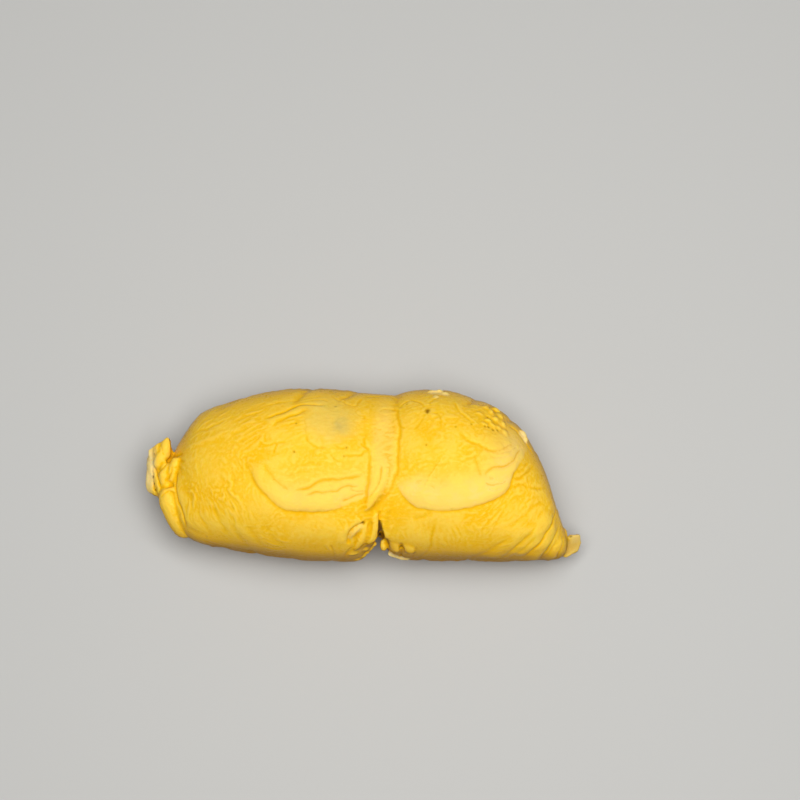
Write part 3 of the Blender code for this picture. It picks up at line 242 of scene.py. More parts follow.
# Creases: half width and depth (mm), then the path
CREASES = (
    # Inner folds of the left lobe
    (0.5, 0.42, (292, 491), (302.6, 488.3), (311, 486.2), (319, 481.6), (325, 479.3), (337.6, 479.3),
     (348, 477.3), (359.4, 476), (364.5, 471)),
    (0.45, 0.3, (303, 495.5), (315.8, 492), (325, 491.6), (336.4, 490.8), (341, 488), (348.5, 485.6),
     (354.8, 486.2), (362, 485)),
    (0.4, 0.2, (349, 486.8), (357, 490.8), (366, 489)),
    (0.55, 0.28, (341, 501.5), (353.6, 496), (366.5, 491.5)),
    (0.95, 0.22, (264, 462), (270, 472), (276, 479), (285, 486.5), (292, 490.5)),
    (0.4, 0.18, (306.6, 433.4), (309, 440.8), (314.6, 445), (322.7, 447.7), (329, 447)),
    (0.35, 0.14, (302.6, 419), (306.6, 424.8), (306, 429.4), (307, 435)),
    (0.4, 0.22, (343.3, 456), (350.2, 455.2), (360.5, 454.6), (365.1, 451.2), (370, 449)),
    (0.3, 0.14, (360.5, 442), (364, 446), (370, 449)),
    (0.3, 0.12, (335, 445.5), (343.3, 448.3), (350, 447)),
    (0.35, 0.14, (278, 442.6), (275.6, 449), (274.4, 454)),
    (0.35, 0.12, (257, 438), (266.4, 445.4), (278, 442.6), (288, 442)),
    (0.35, 0.1, (331, 452), (335, 459), (342, 463)),
    (0.5, 0.1, (300, 466), (311, 463), (323, 464)),
    (0.5, 0.1, (286, 476), (298, 472), (312, 471)),
    # Far side of the left lobe
    (0.5, 0.3, (271, 427), (280.2, 421.3), (288.2, 416.7), (297.4, 414), (304.3, 410.4), (311.2, 408.7)),
    (0.9, -0.16, (184, 450), (197, 443), (212, 437.5), (225, 432), (238, 428), (250, 423)),
    (0.55, 0.14, (194, 433), (208, 428.5), (225, 421), (240, 415)),
    (0.45, 0.14, (262, 408), (285, 402), (303, 399), (318, 396.5), (331, 396)),
    (0.4, 0.12, (293, 403), (308, 400.5), (322, 399), (330, 400)),
    (0.5, 0.1, (230, 424), (246, 417), (262, 411.5)),
    # Polygons around the top of the band
    (0.35, 0.2, (346.8, 397), (344.5, 400.7), (349.5, 404), (356, 404.7), (359.4, 400.7), (361.7, 397.2)),
    (0.35, 0.16, (331.8, 394.9), (337.6, 399), (345, 399.5)),
    (0.4, 0.22, (361.7, 397.2), (372, 396.5), (384, 396), (393, 398), (398.4, 403)),
    (0.3, 0.12, (360.5, 407.6), (356, 411), (360, 414.5), (364, 416), (363, 420)),
    (0.35, 0.14, (378.9, 412), (384, 409.6), (389.2, 409.3), (397, 410)),
    (0.35, 0.08, (371, 425), (380, 429), (391, 427), (398, 429)),
    (0.45, 0.35, (382.3, 463), (381.2, 475.3), (379, 483.3), (376, 488.5), (370, 494.8), (368.5, 500)),
    # Top of the right lobe
    (0.35, 0.18, (397.2, 410), (403, 404.1), (411, 400.7), (418, 401.8), (422.5, 404.7), (426, 409)),
    (0.35, 0.16, (429.4, 407), (430.5, 403), (435.1, 399.5), (441, 396.5)),
    (0.35, 0.14, (429.4, 413.3), (438.5, 414.4), (440.8, 420.2), (441.4, 430)),
    (0.35, 0.12, (426, 413.9), (422.5, 419), (418, 426), (413, 430)),
    (0.3, 0.12, (398, 419), (400.7, 426), (406.4, 428.2)),
    (0.55, -0.11, (455.8, 399.5), (460.4, 409.8), (467.2, 415.6), (475.3, 422.5), (482, 427)),
    (0.4, 0.12, (453.5, 401), (458.5, 410.5), (465.5, 417), (473.5, 423.5)),
    (0.4, 0.14, (493, 454), (501, 453.5), (509, 451), (517, 446)),
    (0.4, 0.1, (486, 455), (495, 458), (505, 457), (513, 453)),
    (0.7, 0.14, (474, 452), (475.3, 460.4), (478.7, 470.7), (481.5, 478)),
    (0.5, 0.18, (482.2, 481), (490.2, 484), (499.4, 483.3), (507, 479)),
    (0.5, 0.14, (486, 487), (494, 489.5), (503, 486)),
    (0.35, 0.08, (422.5, 484.5), (431.7, 485.6), (435, 489)),
    (0.5, 0.1, (430, 462), (441, 465), (452, 462)),
    (0.5, 0.28, (512, 479), (517.8, 477.6), (522.3, 475.3), (528, 470.7), (533, 466)),
    (0.45, 0.2, (516, 472.5), (522, 468.5), (527, 462)),
    (0.5, 0.2, (512, 489), (515.5, 485.6), (521.2, 484), (528, 488)),
    (0.45, 0.34, (528, 487), (538.4, 488), (544.2, 486.8), (549, 484)),
    (0.6, 0.32, (506, 423.6), (514.3, 429.4), (521.2, 437.4), (528, 447), (534, 458)),
    (0.4, 0.2, (481, 404.5), (488, 407), (495, 408.5)),
    (0.5, 0.3, (497, 409.5), (502, 414.5), (505, 420), (506, 427)),
    # Below the crescents and at the right end
    (0.9, 0.16, (411.3, 518), (423, 516.3), (427.4, 513.4), (434, 512)),
    (0.45, 0.3, (434.5, 522), (433.3, 527), (431.1, 535.2), (430.3, 544), (428, 550), (422.3, 555),
     (415, 557.5)),
    (0.7, 0.1, (388, 510), (388.5, 517), (387.5, 526)),
    (1.2, 0.24, (466, 557), (476, 554), (486.5, 549.8), (494, 545), (501.4, 539.8), (512, 531)),
    (0.6, 0.16, (507, 556.5), (516, 550), (527, 541), (536, 530)),
    (0.6, 0.12, (523, 512), (531, 506), (540, 500)),
    (0.6, 0.12, (508, 526), (518, 518), (528, 511)),
    (0.5, 0.16, (544, 554.5), (550, 547), (555, 540)),
    # Around the cleft
    (0.32, 0.6, (380.2, 510), (380.8, 515), (381, 521), (380.8, 528)),
    (0.55, 0.38, (363.6, 525), (360.7, 531.5), (356.3, 537.5), (356, 541.5), (354, 546), (348.2, 550.5),
     (342, 558)),
    (0.5, 0.2, (370, 518), (371, 528), (369.5, 538), (365, 545)),
    (0.4, 0.28, (360, 546), (367, 543.5), (375, 541)),
    (0.4, 0.28, (346, 554), (352, 549), (358, 546)),
    (0.35, 0.34, (331, 543), (334.5, 551), (335.5, 557.5)),
    (0.55, 1.0, (399.5, 541.5), (401, 546), (401.6, 551), (401.2, 556)),
    (0.45, 0.6, (387.2, 539), (387, 545), (388, 551)),
    (0.4, 0.35, (416.5, 545.5), (415.8, 551), (412, 556)),
    # The left end
    (0.4, 0.5, (154, 461), (156, 468.3), (158, 473), (160, 480), (161, 485), (164, 488)),
    (0.45, 0.5, (170.6, 460), (167, 463.5), (163, 468.5), (158.4, 473)),
    (0.4, 0.36, (173, 464), (173, 471.3), (169.6, 477.4), (168.3, 480), (173.7, 483.6), (176.5, 488)),
    (0.4, 0.3, (162.6, 497.5), (166, 493), (170.6, 490.9), (175, 492.2)),
    (0.35, 0.34, (155.6, 446), (156.2, 453), (154.8, 461)),
    (0.4, 0.2, (161, 443.5), (163, 450), (166, 456)),
    (0.35, 0.36, (154.5, 463), (153.4, 470), (154, 476), (154.8, 485), (157.5, 492)),
    (0.45, 0.3, (171.4, 458.5), (176.7, 456), (184, 454)),
    (0.45, 0.26, (172.1, 462), (180.6, 460.8), (186, 462)),
    (0.45, 0.2, (171, 467), (178, 467), (184, 469)),
    (0.6, 0.34, (203, 535.5), (213, 540), (225, 543.8), (236, 546.5)),
    # Soft diagonal ridges on the front of the left lobe
    (1.3, 0.18, (232, 520), (240, 534), (251, 546)),
    (1.3, 0.16, (248, 522), (257, 536), (269, 549)),
    (1.4, 0.14, (264, 521), (275, 536), (287, 549)),
    (1.3, 0.16, (214, 502), (221, 519), (231, 534)),
    (1.2, 0.14, (197, 500), (204, 518), (216, 534)),
)
# Creases on the hidden sides, the same way, by the direction in which a side is seen from OUTSIDE metres
# off. A path is x and height as seen level from the back or the front, or x and y from below (mm).
OUTSIDE = 0.1
HIDDEN_CREASES = {
    (0, -1, 0): (
        (1.5, 0.7, (-46, 30), (-38, 24), (-33, 16), (-30, 6)),
        (1.3, 0.7, (-22, 38), (-17, 28), (-16, 18), (-19, 6)),
        (1.2, 0.5, (-8, 36), (-2, 27), (0, 17), (-1, 7)),
        (1.2, 0.5, (10, 41), (11, 31), (10, 20), (11, 8)),
        (1.4, 0.6, (20, 30), (24, 22), (25, 12), (22, 4)),
        (1.4, 0.7, (31, 38), (35, 30), (36, 20), (33, 8)),
        (1.3, 0.7, (44, 34), (47, 26), (46, 16), (42, 6)),
    ),
    (0, 1, 0): (
        (1.2, 0.45, (-47, 21), (-43, 14), (-38, 6)),
        (1.4, 0.5, (-36, 23), (-33, 15), (-30, 5)),
        (1.3, 0.4, (-22, 19), (-21, 12), (-22, 4)),
        (1.2, 0.45, (-10, 22), (-9, 14), (-6, 6)),
        (1.2, 0.4, (18, 20), (20, 12), (19, 4)),
        (1.4, 0.5, (31, 22), (34, 14), (38, 6)),
        (1.2, 0.45, (45, 20), (49, 13), (52, 8)),
    ),
    (0, 0, 1): (
        (1.6, 0.7, (-44, 14), (-34, 17), (-22, 19), (-10, 18)),
        (1.6, 0.7, (16, 20), (26, 19), (36, 15), (44, 9)),
        (1.8, 1.2, (10, 24), (9, 17), (9, 14)),
        (2, 1, (7, -14), (8, -8), (9, 0), (10, 8)),
        (1.6, 0.7, (-50, -8), (-46, -14), (-38, -19)),
        (1.6, 0.7, (30, -20), (40, -20), (50, -17), (56, -11)),
    ),
}

# A crease's reach and the place of its banks, in half widths, and the banks' heights as shares of its
# depth, up to the depth (mm) above which they grow no more
CREASE_REACH = 4.5
BANK_AT = 2.1
LEFT_BANK = 0.08
RIGHT_BANK = 0.03
BANK_FULL_DEPTH = 0.5
# A crease's painted golden shade is full from this depth on, and up to this half width (mm)
CREASE_SHADE_DEPTH = 0.35
CREASE_SHADE_HALF_WIDTH = 0.6

# Steps in each span of a fold's path, and the share of its length over which each end fades
FOLD_STEPS = 5
FADE_SHARE = 0.2
# How far folds wander off their paths, and over what lengths they wander and change depth (mm)
FOLD_WANDER = 0.30
FOLD_WANDER_LENGTH = 2.6
FOLD_UNEVEN_LENGTH = 4.5

# Small pits and dark specks: view pixel, radius and depth (mm), darkness
# The darkness is partly brown specks and partly painted shade in the pits; the wide spot of no depth on
# the end flap is painted shade.
PITS = (
    (427.4, 410.7, 0.72, 0.45, 0.85), (427.4, 412.6, 0.38, 0.3, 0.75), (294.5, 451.5, 0.32, 0.15, 0.6),
    (335.9, 405.3, 0.35, 0.15, 0.45), (346.8, 447.2, 0.32, 0.12, 0.5), (296.4, 423.4, 0.3, 0.12, 0.5),
    (344.4, 455.6, 0.28, 0.1, 0.4), (485, 426, 0.4, 0.35, 0.4), (488.6, 426.6, 0.4, 0.4, 0.5),
    (493.1, 429.4, 0.45, 0.45, 0.5), (497.6, 429.9, 0.4, 0.35, 0.4), (487.9, 417, 0.45, 0.45, 0.45),
    (153.9, 476.7, 0.38, 0.35, 1), (155.3, 483.4, 0.38, 0.35, 0.9), (157.2, 489.7, 0.38, 0.3, 0.9),
    (154.8, 454, 0.35, 0.2, 0.7), (401.5, 548.4, 0.5, 0.6, 1), (363.6, 522.6, 0.5, 0.5, 0.9),
    (569.3, 534.8, 0.6, 0.2, 0.9), (574, 542, 4, 0, 0.3), (174, 456.5, 1.2, 0, 0.45),
    (407, 404, 0.25, 0.1, 0.4), (455.5, 427, 0.28, 0.12, 0.4), (471.2, 424.3, 0.3, 0.12, 0.4),
    (426.4, 445.2, 0.28, 0.1, 0.35),
)

# The painted shade inside the slit: view pixel, and how far the shade spreads from there (mm)
SLIT_SHADE_LINE = ((380.9, 520.5, 0.35), (381, 524, 0.6), (380.7, 528, 0.85), (380, 533, 0.95))
SLIT_STEPS = 8
SLIT_SHADE_DARKNESS = 0.97
# Where torn flesh dried to cream or straw: view pixel, radius (mm) and strength
CREAM_SPOTS = (
    (433, 391.5, 2.1, 0.75), (440, 391.5, 2.3, 0.75), (446, 393, 1.7, 0.7), (436, 396, 1.3, 0.7),
    (521.5, 435, 1.8, 0.8), (524.5, 440, 1.4, 0.7),
    (389.4, 551.5, 1.3, 0.6), (391.2, 553.2, 1.5, 0.9), (395.5, 554.4, 1.6, 0.9), (402, 556.6, 1.5, 0.9),
    (407, 557.6, 1.3, 0.7), (575, 536, 3.0, 0.5), (572, 543, 3.4, 0.35), (568, 550, 2.6, 0.3),
)
STRAW_SPOTS = (
    (361, 526, 1.3, 0.9), (357.5, 529.5, 1.5, 1.0), (353.5, 533.5, 1.5, 1.0), (350.5, 537, 1.2, 0.9),
)
# Painted shade on the sides, a darker golden, starts where the skin's outward direction goes up less than
# this
SIDE_STARTS = 0.65
# Soft oval areas: middle and radii in the view, and turn in degrees
BAND_AREA = ((384, 447), (17, 64))
LEFT_END_AREA = ((160, 480), (26, 60))
RIGHT_END_AREA = ((571, 542), (9, 12))
GREY_AREA = ((331, 421), (38, 30), 10)
SCAR_AREA = ((150.5, 470), (8, 36), 4)
# The bruise: middle, and squares of its radii in the view
BRUISE_MIDDLE = (341.0, 426.0)
BRUISE_SPREAD = (80, 50)
# Wavelengths of the fine and the broad mottling of those areas' edges (mm)
MOTTLE_LENGTHS = (2.2, 6.0)

# Soft unevenness of the whole skin: wavelength and amplitude (mm)
SWELLS = ((24.0, 0.85), (9.0, 0.30))
NOISE_SEED_OFFSET = Vector((3.7, 1.3, 8.1))

# Fine wrinkles: middle and radii in the view, the way they run, spacing, length and height (mm)
WRINKLES = (
    ((215, 492), (78, 58), (0.38, -0.72, -0.58), 1.4, 6.0, 0.15),
    ((235, 548), (95, 20), (0.95, -0.15, -0.20), 1.5, 8.0, 0.13),
    ((245, 425), (95, 34), (0.91, 0.36, -0.10), 1.4, 6.0, 0.12),
    ((325, 538), (65, 32), (0.12, -0.70, -0.70), 1.5, 4.5, 0.11),
    ((435, 540), (65, 32), (0.20, -0.70, -0.70), 1.7, 4.5, 0.10),
    ((520, 512), (58, 52), (0.68, 0.62, 0.30), 1.3, 5.5, 0.14),
)
BACK_WRINKLES = ((0.15, 0.25, -0.95), 1.7, 7.0, 0.18)
PLAIN_WRINKLES = ((1.0, 0.2, 0.0), 1.4, 2.4, 0.095)
# How far wrinkles bend off their straight lines, and over what length (mm)
WRINKLE_BEND = 1.6
WRINKLE_BEND_LENGTH = 7.0
# Wrinkles are strong in some patches and weak in others: the patches' size (mm) and the least strength
WRINKLE_PATCH_LENGTH = 11.0
WRINKLE_LEAST = 0.35
# How often the skin is evened out to find its hollows, and how far that moves a full hollow (mm)
HOLLOWS = ((4, 0.035), (40, 0.22))

SKIN_VOXEL = 0.36 * MM
SKIN_SMOOTH_STEPS = 8
SKIN_TRIANGLES = 192000


def smooth_path(points, per_span):
    """Points on a smooth curve through the given rows of numbers, per_span steps a span."""
    rows = np.array(points, float)
    rows = np.vstack([2 * rows[0] - rows[1], rows, 2 * rows[-1] - rows[-2]])
    made = []
    for k in range(1, len(rows) - 2):
        a, b, c, d = rows[k - 1 : k + 3]
        for step in range(per_span):
            t = step / per_span
            made.append(
                0.5 * (2 * b + (c - a) * t + (2 * a - 5 * b + 4 * c - d) * t**2
                       + (3 * b - a - 3 * c + d) * t**3)
            )
    made.append(rows[-2])
    return np.array(made)


def smooth_step(low, high, value):
    t = np.clip((value - low) / (high - low), 0.0, 1.0)
    return t * t * (3 - 2 * t)


def bell(value):
    """A bell curve: 1 at 0, and nearly 0 beyond 2 on both sides."""
    return np.exp(-(value**2))


def unit(rows):
    return rows / np.linalg.norm(rows, axis=1, keepdims=True)


def bulged(value, power):
    """A cosine or sine pushed outwards, so that a circle becomes a superellipse."""
    return math.copysign(abs(value) ** (2 / power), value)


def loaf_ring(station):
    """One closed cross-section of the loaf, in millimetres."""
    x, front, back, low, top = station
    middle_y, half_y = (front + back) / 2, (back - front) / 2
    middle_z = low + WIDEST_LEVEL * (top - low)
    ring = []
    for k in range(POINTS_AROUND):
        angle = 2 * math.pi * k / POINTS_AROUND
        across, up = math.cos(angle), math.sin(angle)
        above = POWER_BACK_TOP if across > 0 else POWER_FRONT_TOP
        power = above if up > 0 else POWER_BELOW
        reach_z = (top - middle_z) if up > 0 else (middle_z - low)
        ring.append((x, middle_y + half_y * bulged(across, power), middle_z + reach_z * bulged(up, power)))
    return ring


def press_cleft(points):
    """Presses the valley between the lobes into the loaf, deepest at the front."""
    x, y, z = points.T
    seam_x = CLEFT_FRONT_X + (CLEFT_BACK_X - CLEFT_FRONT_X) * smooth_step(*SEAM_SLANT_Y, y)
    front = smooth_step(*CLEFT_FRONT_Y, y) * (1 - smooth_step(*CLEFT_FRONT_TOP_Z, z))
    cut = CLEFT_FRONT_DEPTH * front * bell((x - seam_x) / CLEFT_FRONT_WIDTH)
    below = 1 - smooth_step(*VALLEY_BELOW_Z, z)
    valley = VALLEY_DEPTH + (VALLEY_BELOW_DEPTH - VALLEY_DEPTH) * below
    valley = valley * bell((x - seam_x) / VALLEY_WIDTH)
    inwards = np.stack([np.zeros_like(x), -y / HALF_DEPTH, (MIDDLE_Z - z) / HALF_HEIGHT], axis=1)
    inwards /= np.maximum(np.linalg.norm(inwards, axis=1, keepdims=True), 1e-6)
    torn = smooth_step(*SLIT_REACH, y) * smooth_step(*SLIT_Z, z)
    slit_width = SLIT_WIDTHS[0] + (SLIT_WIDTHS[1] - SLIT_WIDTHS[0]) * torn
    slit = SLIT_DEPTH * torn * bell((x - SLIT_X) / slit_width)
    pressed = points + inwards * (valley + slit)[:, None]
    pressed[:, 1] += cut
    return pressed


def ring_faces(rings, around):
    """Faces between neighbouring rings of points."""
    faces = []
    for low in range(0, (rings - 1) * around, around):
        high = low + around
        for k in range(around):
            n = (k + 1) % around
            faces.append((low + k, low + n, high + n, high + k))
    return faces


def loaf_surface():
    """Vertices in metres and faces of the closed loaf."""
    stations = smooth_path(STATIONS, RINGS_BETWEEN_STATIONS)
    rings = np.array([loaf_ring(s) for s in stations])
    points = press_cleft(rings.reshape(-1, 3))
    ends = [rings[0].mean(axis=0), rings[-1].mean(axis=0)]
    points = np.vstack([points, ends])
    faces = ring_faces(len(stations), POINTS_AROUND)
    last, first_pole = (len(stations) - 1) * POINTS_AROUND, len(points) - 2
    for k in range(POINTS_AROUND):
        n = (k + 1) % POINTS_AROUND
        faces.append((n, k, first_pole))
        faces.append((last + k, last + n, first_pole + 1))
    return points * MM, faces


def view_ray(px, py):
    """Direction from the eye through a pixel of the view."""
    x = (px - VIEW_CENTRE_PX[0]) / PX_PER_MM_X * MM
    y = (VIEW_CENTRE_PX[1] - py) / PX_PER_MM_Y * MM
    return (Vector((x, y, VIEW_PLANE_Z)) - EYE).normalized()


def point_at(px, py, z):
    """The point at height z, in millimetres, that shows at a pixel of the view."""
    ray = view_ray(px, py)
    return EYE + ray * ((z * MM - EYE.z) / ray.z)


def pixels_of(points):
    """The view's pixel for each point."""
    reach = (points[:, 2] - EYE.z) / (VIEW_PLANE_Z - EYE.z)
    x = EYE.x + (points[:, 0] - EYE.x) / reach
    y = EYE.y + (points[:, 1] - EYE.y) / reach
    return VIEW_CENTRE_PX[0] + x / MM * PX_PER_MM_X, VIEW_CENTRE_PX[1] - y / MM * PX_PER_MM_Y


def seen_by_eye(tree, path):
    """Where the pixels of a path land on the skin: points and outward directions."""
    return [tree.ray_cast(EYE, view_ray(px, py))[:2] for px, py in path]


def seen_along(direction, tree, path):
    """The same for a path given as x and height, or as x and y where the direction is upwards."""
    second = Vector((0, 1, 0)) if direction.z else Vector((0, 0, 1))
    starts = [Vector((x * MM, 0, 0)) + second * (other * MM) - direction * OUTSIDE for x, other in path]
    return [tree.ray_cast(start, direction)[:2] for start in starts]


def landed(hits):
    """The hits that met the skin, as an array of points and one of directions."""
    found = [(p, n) for p, n in hits if p is not None]
    return np.array([p for p, _ in found], float), np.array([n for _, n in found], float)


def tube(centres, sides, ups, half_widths, half_heights):
    """A closed tube of elliptical rings along a path."""
    points, around = [], ROLL_POINTS_AROUND
    for centre, side, up, wide, high in zip(centres, sides, ups, half_widths, half_heights):
        for k in range(around):
            angle = 2 * math.pi * k / around
            points.append(centre + side * wide * math.cos(angle) + up * high * math.sin(angle))
    faces = ring_faces(len(centres), around)
    last = (len(centres) - 1) * around
    faces.append(tuple(range(around))[::-1])
    faces.append(tuple(range(last, last + around)))
    return np.array(points), faces


def rounded_ends(count):
    """A factor that brings a roll's width to nearly nothing over its first and last rings."""
    t = np.linspace(0, 1, count)
    from_end = np.clip(np.minimum(t, 1 - t) / ROLL_END_SHARE, 0.02, 1)
    return np.sqrt(np.clip(1 - (1 - from_end) ** 2, 0.0, 1.0))


def skin_roll(tree, roll):
    """A roll of flesh lying on the skin along its path."""
    rows = smooth_path(roll, ROLL_STEPS)
    hits = seen_by_eye(tree, rows[:, :2])
    rows = rows[[point is not None for point, _ in hits]]
    points, outs = landed(hits)
    sides = unit(np.cross(outs, unit(np.gradient(points, axis=0))))
    ends = rounded_ends(len(points))
    high = (rows[:, 3] + ROLL_SINK) * MM * ends
    centres = points - outs * ROLL_SINK * MM
    return tube(centres, sides, outs, rows[:, 2] * MM * ends, high)


def free_roll(rows):
    """A roll of round section through points given by view pixel and height, with their radii."""
    rows = [(*(point_at(px, py, z) / MM), r) for px, py, z, r in rows]
    rows = smooth_path(rows, ROLL_STEPS) * MM
    points, radii = rows[:, :3], rows[:, 3]
    along = unit(np.gradient(points, axis=0))
    sides = unit(np.cross(along, np.array((0.0, 0.0, 1.0))))
    ups = np.cross(sides, along)
    width = radii * rounded_ends(len(points))
    return tube(points, sides, -ups, width, width)


def ball(centre, right, forward, out, radii):
    """A closed ellipsoid with its own three directions."""
    rings, around = KNOB_RINGS, KNOB_POINTS_AROUND
    points = [centre + out * radii[2]]
    for r in range(1, rings):
        polar = math.pi * r / rings
        for k in range(around):
            angle = 2 * math.pi * k / around
            flat = right * radii[0] * math.cos(angle) + forward * radii[1] * math.sin(angle)
            points.append(centre + flat * math.sin(polar) + out * radii[2] * math.cos(polar))
    points.append(centre - out * radii[2])
    faces = []
    for k in range(around):
        n = (k + 1) % around
        faces.append((0, 1 + k, 1 + n))
        for r in range(rings - 2):
            low, high = 1 + r * around, 1 + (r + 1) * around
            faces.append((low + k, high + k, high + n, low + n))
        last = 1 + (rings - 2) * around
        faces.append((last + n, last + k, len(points) - 1))
    return np.array([list(p) for p in points]), faces


def skin_knob(tree, knob):
    px, py, *radii, sink, turn = knob
    centre, out = tree.ray_cast(EYE, view_ray(px, py))[:2]
    turned = math.radians(turn)
    right = Vector((math.cos(turned), math.sin(turned), 0))
    right = (right - out * right.dot(out)).normalized()
    radii = [radius * MM for radius in radii]
    return ball(centre - out * sink * MM, right, out.cross(right), out, radii)


def free_knob(knob):
    px, py, z, *radii, turn = knob
    right, forward, up = Matrix.Rotation(math.radians(turn), 3, "Z").col
    return ball(point_at(px, py, z), right, forward, up, [radius * MM for radius in radii])


def plate(thickness, *outline):
    """A flat piece with the given outline, thickness millimetres through."""
    rim = [point_at(*row) for row in outline]
    middle = sum(rim, Vector()) / len(rim)
    out = sum(((a - middle).cross(b - middle) for a, b in zip(rim, rim[1:] + rim[:1])), Vector())
    out = out.normalized() * (thickness / 2 * MM)
    count = len(rim)
    points = [p + out for p in rim] + [p - out for p in rim] + [middle + out, middle - out]
    faces = []
    for k in range(count):
        n = (k + 1) % count
        faces.append((k, n, 2 * count))
        faces.append((count + n, count + k, 2 * count + 1))
        faces.append((k, count + k, count + n, n))
    return np.array([list(p) for p in points]), faces


def placed(name, data):
    """A new object in the scene that shows the given data."""
    made = bpy.data.objects.new(name, data)
    bpy.context.scene.collection.objects.link(made)
    return made


def mesh_object(name, shells):
    """One object in the scene from several shells, each a list of points and a list of faces."""
    points, faces = [], []
    for shell_points, shell_faces in shells:
        start = len(points)
        points.extend(tuple(p) for p in shell_points)
        faces.extend(tuple(start + i for i in face) for face in shell_faces)
    mesh = bpy.data.meshes.new(name)
    mesh.from_pydata(points, [], faces)
    return placed(name, mesh)


def with_modifier(made, kind, **settings):
    """Applies one modifier to an object and keeps its result as the object's mesh."""
    modifier = made.modifiers.new(kind.lower(), kind)
    for key, value in settings.items():
        setattr(modifier, key, value)
    graph = bpy.context.evaluated_depsgraph_get()
    result = bpy.data.meshes.new_from_object(made.evaluated_get(graph))
    made.modifiers.clear()
    made.data = result


def rows_of(items, what, width=3, kind=float):
    """One row of numbers for each of a mesh's vertices, normals or edges."""
    rows = np.empty(len(items) * width, kind)
    items.foreach_get(what, rows)
    return rows.reshape(-1, width)


def points_and_normals(mesh):
    return rows_of(mesh.vertices, "co"), rows_of(mesh.vertex_normals, "vector")


def set_points(mesh, points):
    mesh.vertices.foreach_set("co", points.ravel())
    mesh.update()


def evened(values, edges, steps):
    """Each vertex's rows of values, averaged with its neighbours' the given number of times."""
    count = np.bincount(edges.ravel(), minlength=len(values)).astype(float)[:, None]
    near, far = edges.T
    for _ in range(steps):
        total = [
            np.bincount(near, column[far], len(column)) + np.bincount(far, column[near], len(column))
            for column in values.T
        ]
        values = 0.5 * values + 0.5 * np.stack(total, axis=1) / count
    return values


def near_path(skin, skin_out, path, path_out, reach):
    """For the skin points within reach of a path: their index, signed distance and share along it.
    The distance is positive on the left hand of someone who walks the path on the skin."""
    low, high = path.min(axis=0) - reach, path.max(axis=0) + reach
    index = np.nonzero(np.all((skin > low) & (skin < high), axis=1))[0]
    starts, steps = path[:-1], np.diff(path, axis=0)
    squares = np.maximum((steps**2).sum(axis=1), 1e-12)
    offset = skin[index][:, None, :] - starts[None]
    t = np.clip((offset * steps[None]).sum(axis=2) / squares, 0, 1)
    gap = offset - t[:, :, None] * steps[None]
    distance = np.linalg.norm(gap, axis=2)
    nearest = distance.argmin(axis=1)
    rows = np.arange(len(index))
    lefts = np.cross(path_out[:-1], steps)
    side = np.sign((gap[rows, nearest] * lefts[nearest]).sum(axis=1))
    wander = FOLD_WANDER * MM * noise_at(skin[index] / (FOLD_WANDER_LENGTH * MM), (4.0, 8.0, 1.0))
    lengths = np.sqrt(squares)
    run = np.concatenate([[0], np.cumsum(lengths)])
    share = (run[nearest] + t[rows, nearest] * lengths[nearest]) / run[-1]
    facing = (skin_out[index] * path_out[nearest]).sum(axis=1) > 0.2
    kept = (distance[rows, nearest] < reach) & facing
    signed = side * distance[rows, nearest] + wander
    return index[kept], signed[kept], share[kept], lefts[nearest][kept]


def faded(share):
    return smooth_step(0, FADE_SHARE, share) * smooth_step(0, FADE_SHARE, 1 - share)


def unevenness(points):
    """A factor around 1 by which folds get shallower and deeper along their way."""
    return 0.9 + 0.45 * noise_at(points / (FOLD_UNEVEN_LENGTH * MM), (9.0, 2.0, 6.0))


def fold_path(hits):
    """A smooth path over the skin through the hits, and the outward directions along it."""
    points, outs = landed(hits)
    rows = smooth_path(np.hstack([points, outs]), FOLD_STEPS)
    return rows[:, :3], unit(rows[:, 3:])


def press_lip(shift, crease, pad, skin, skin_out, hits, profile, lip_pad):
    """Raises the skin beside a path to a rounded edge, and creases the foot of that edge."""
    path, path_out = fold_path(hits)
    height, edge, reach, depth, side = profile
    edge, reach, foot_width = edge * MM, reach * MM, FOOT_WIDTH * MM
    index, distance, share, lefts = near_path(skin, skin_out, path, path_out, 3.0 * reach + edge)
    raised = distance * side
    fade = faded(share) * unevenness(skin[index])
    rounded = np.sin(0.5 * np.pi * np.clip(raised / edge, 0, 1))
    up = height * MM * rounded * bell(np.maximum(raised - edge, 0) / reach)
    foot = bell((raised + 0.4 * foot_width) / foot_width)
    shift[index] += skin_out[index] * ((up - depth * MM * foot) * fade)[:, None]
    roll = OVERHANG * height * MM * bell((raised - 0.35 * edge) / (0.5 * edge)) * fade
    shift[index] += unit(lefts) * -side * roll[:, None]
    # The crease at the lip's foot is painted with golden shade
    foot_shade = bell((raised + 0.5 * foot_width) / (1.5 * foot_width)) * fade
    crease[index] = np.maximum(crease[index], foot_shade * min(1.0, 0.4 + height))
    if lip_pad:
        pale_and_highlight, *comes_in = lip_pad
        inside = bell(np.maximum(raised / MM - PAD_FLAT, 0) / PAD_FADE)
        inside = smooth_step(*PAD_RIM, raised / MM) * inside
        pad[index] = np.maximum(pad[index], pale_and_highlight * inside * smooth_step(*comes_in, share))


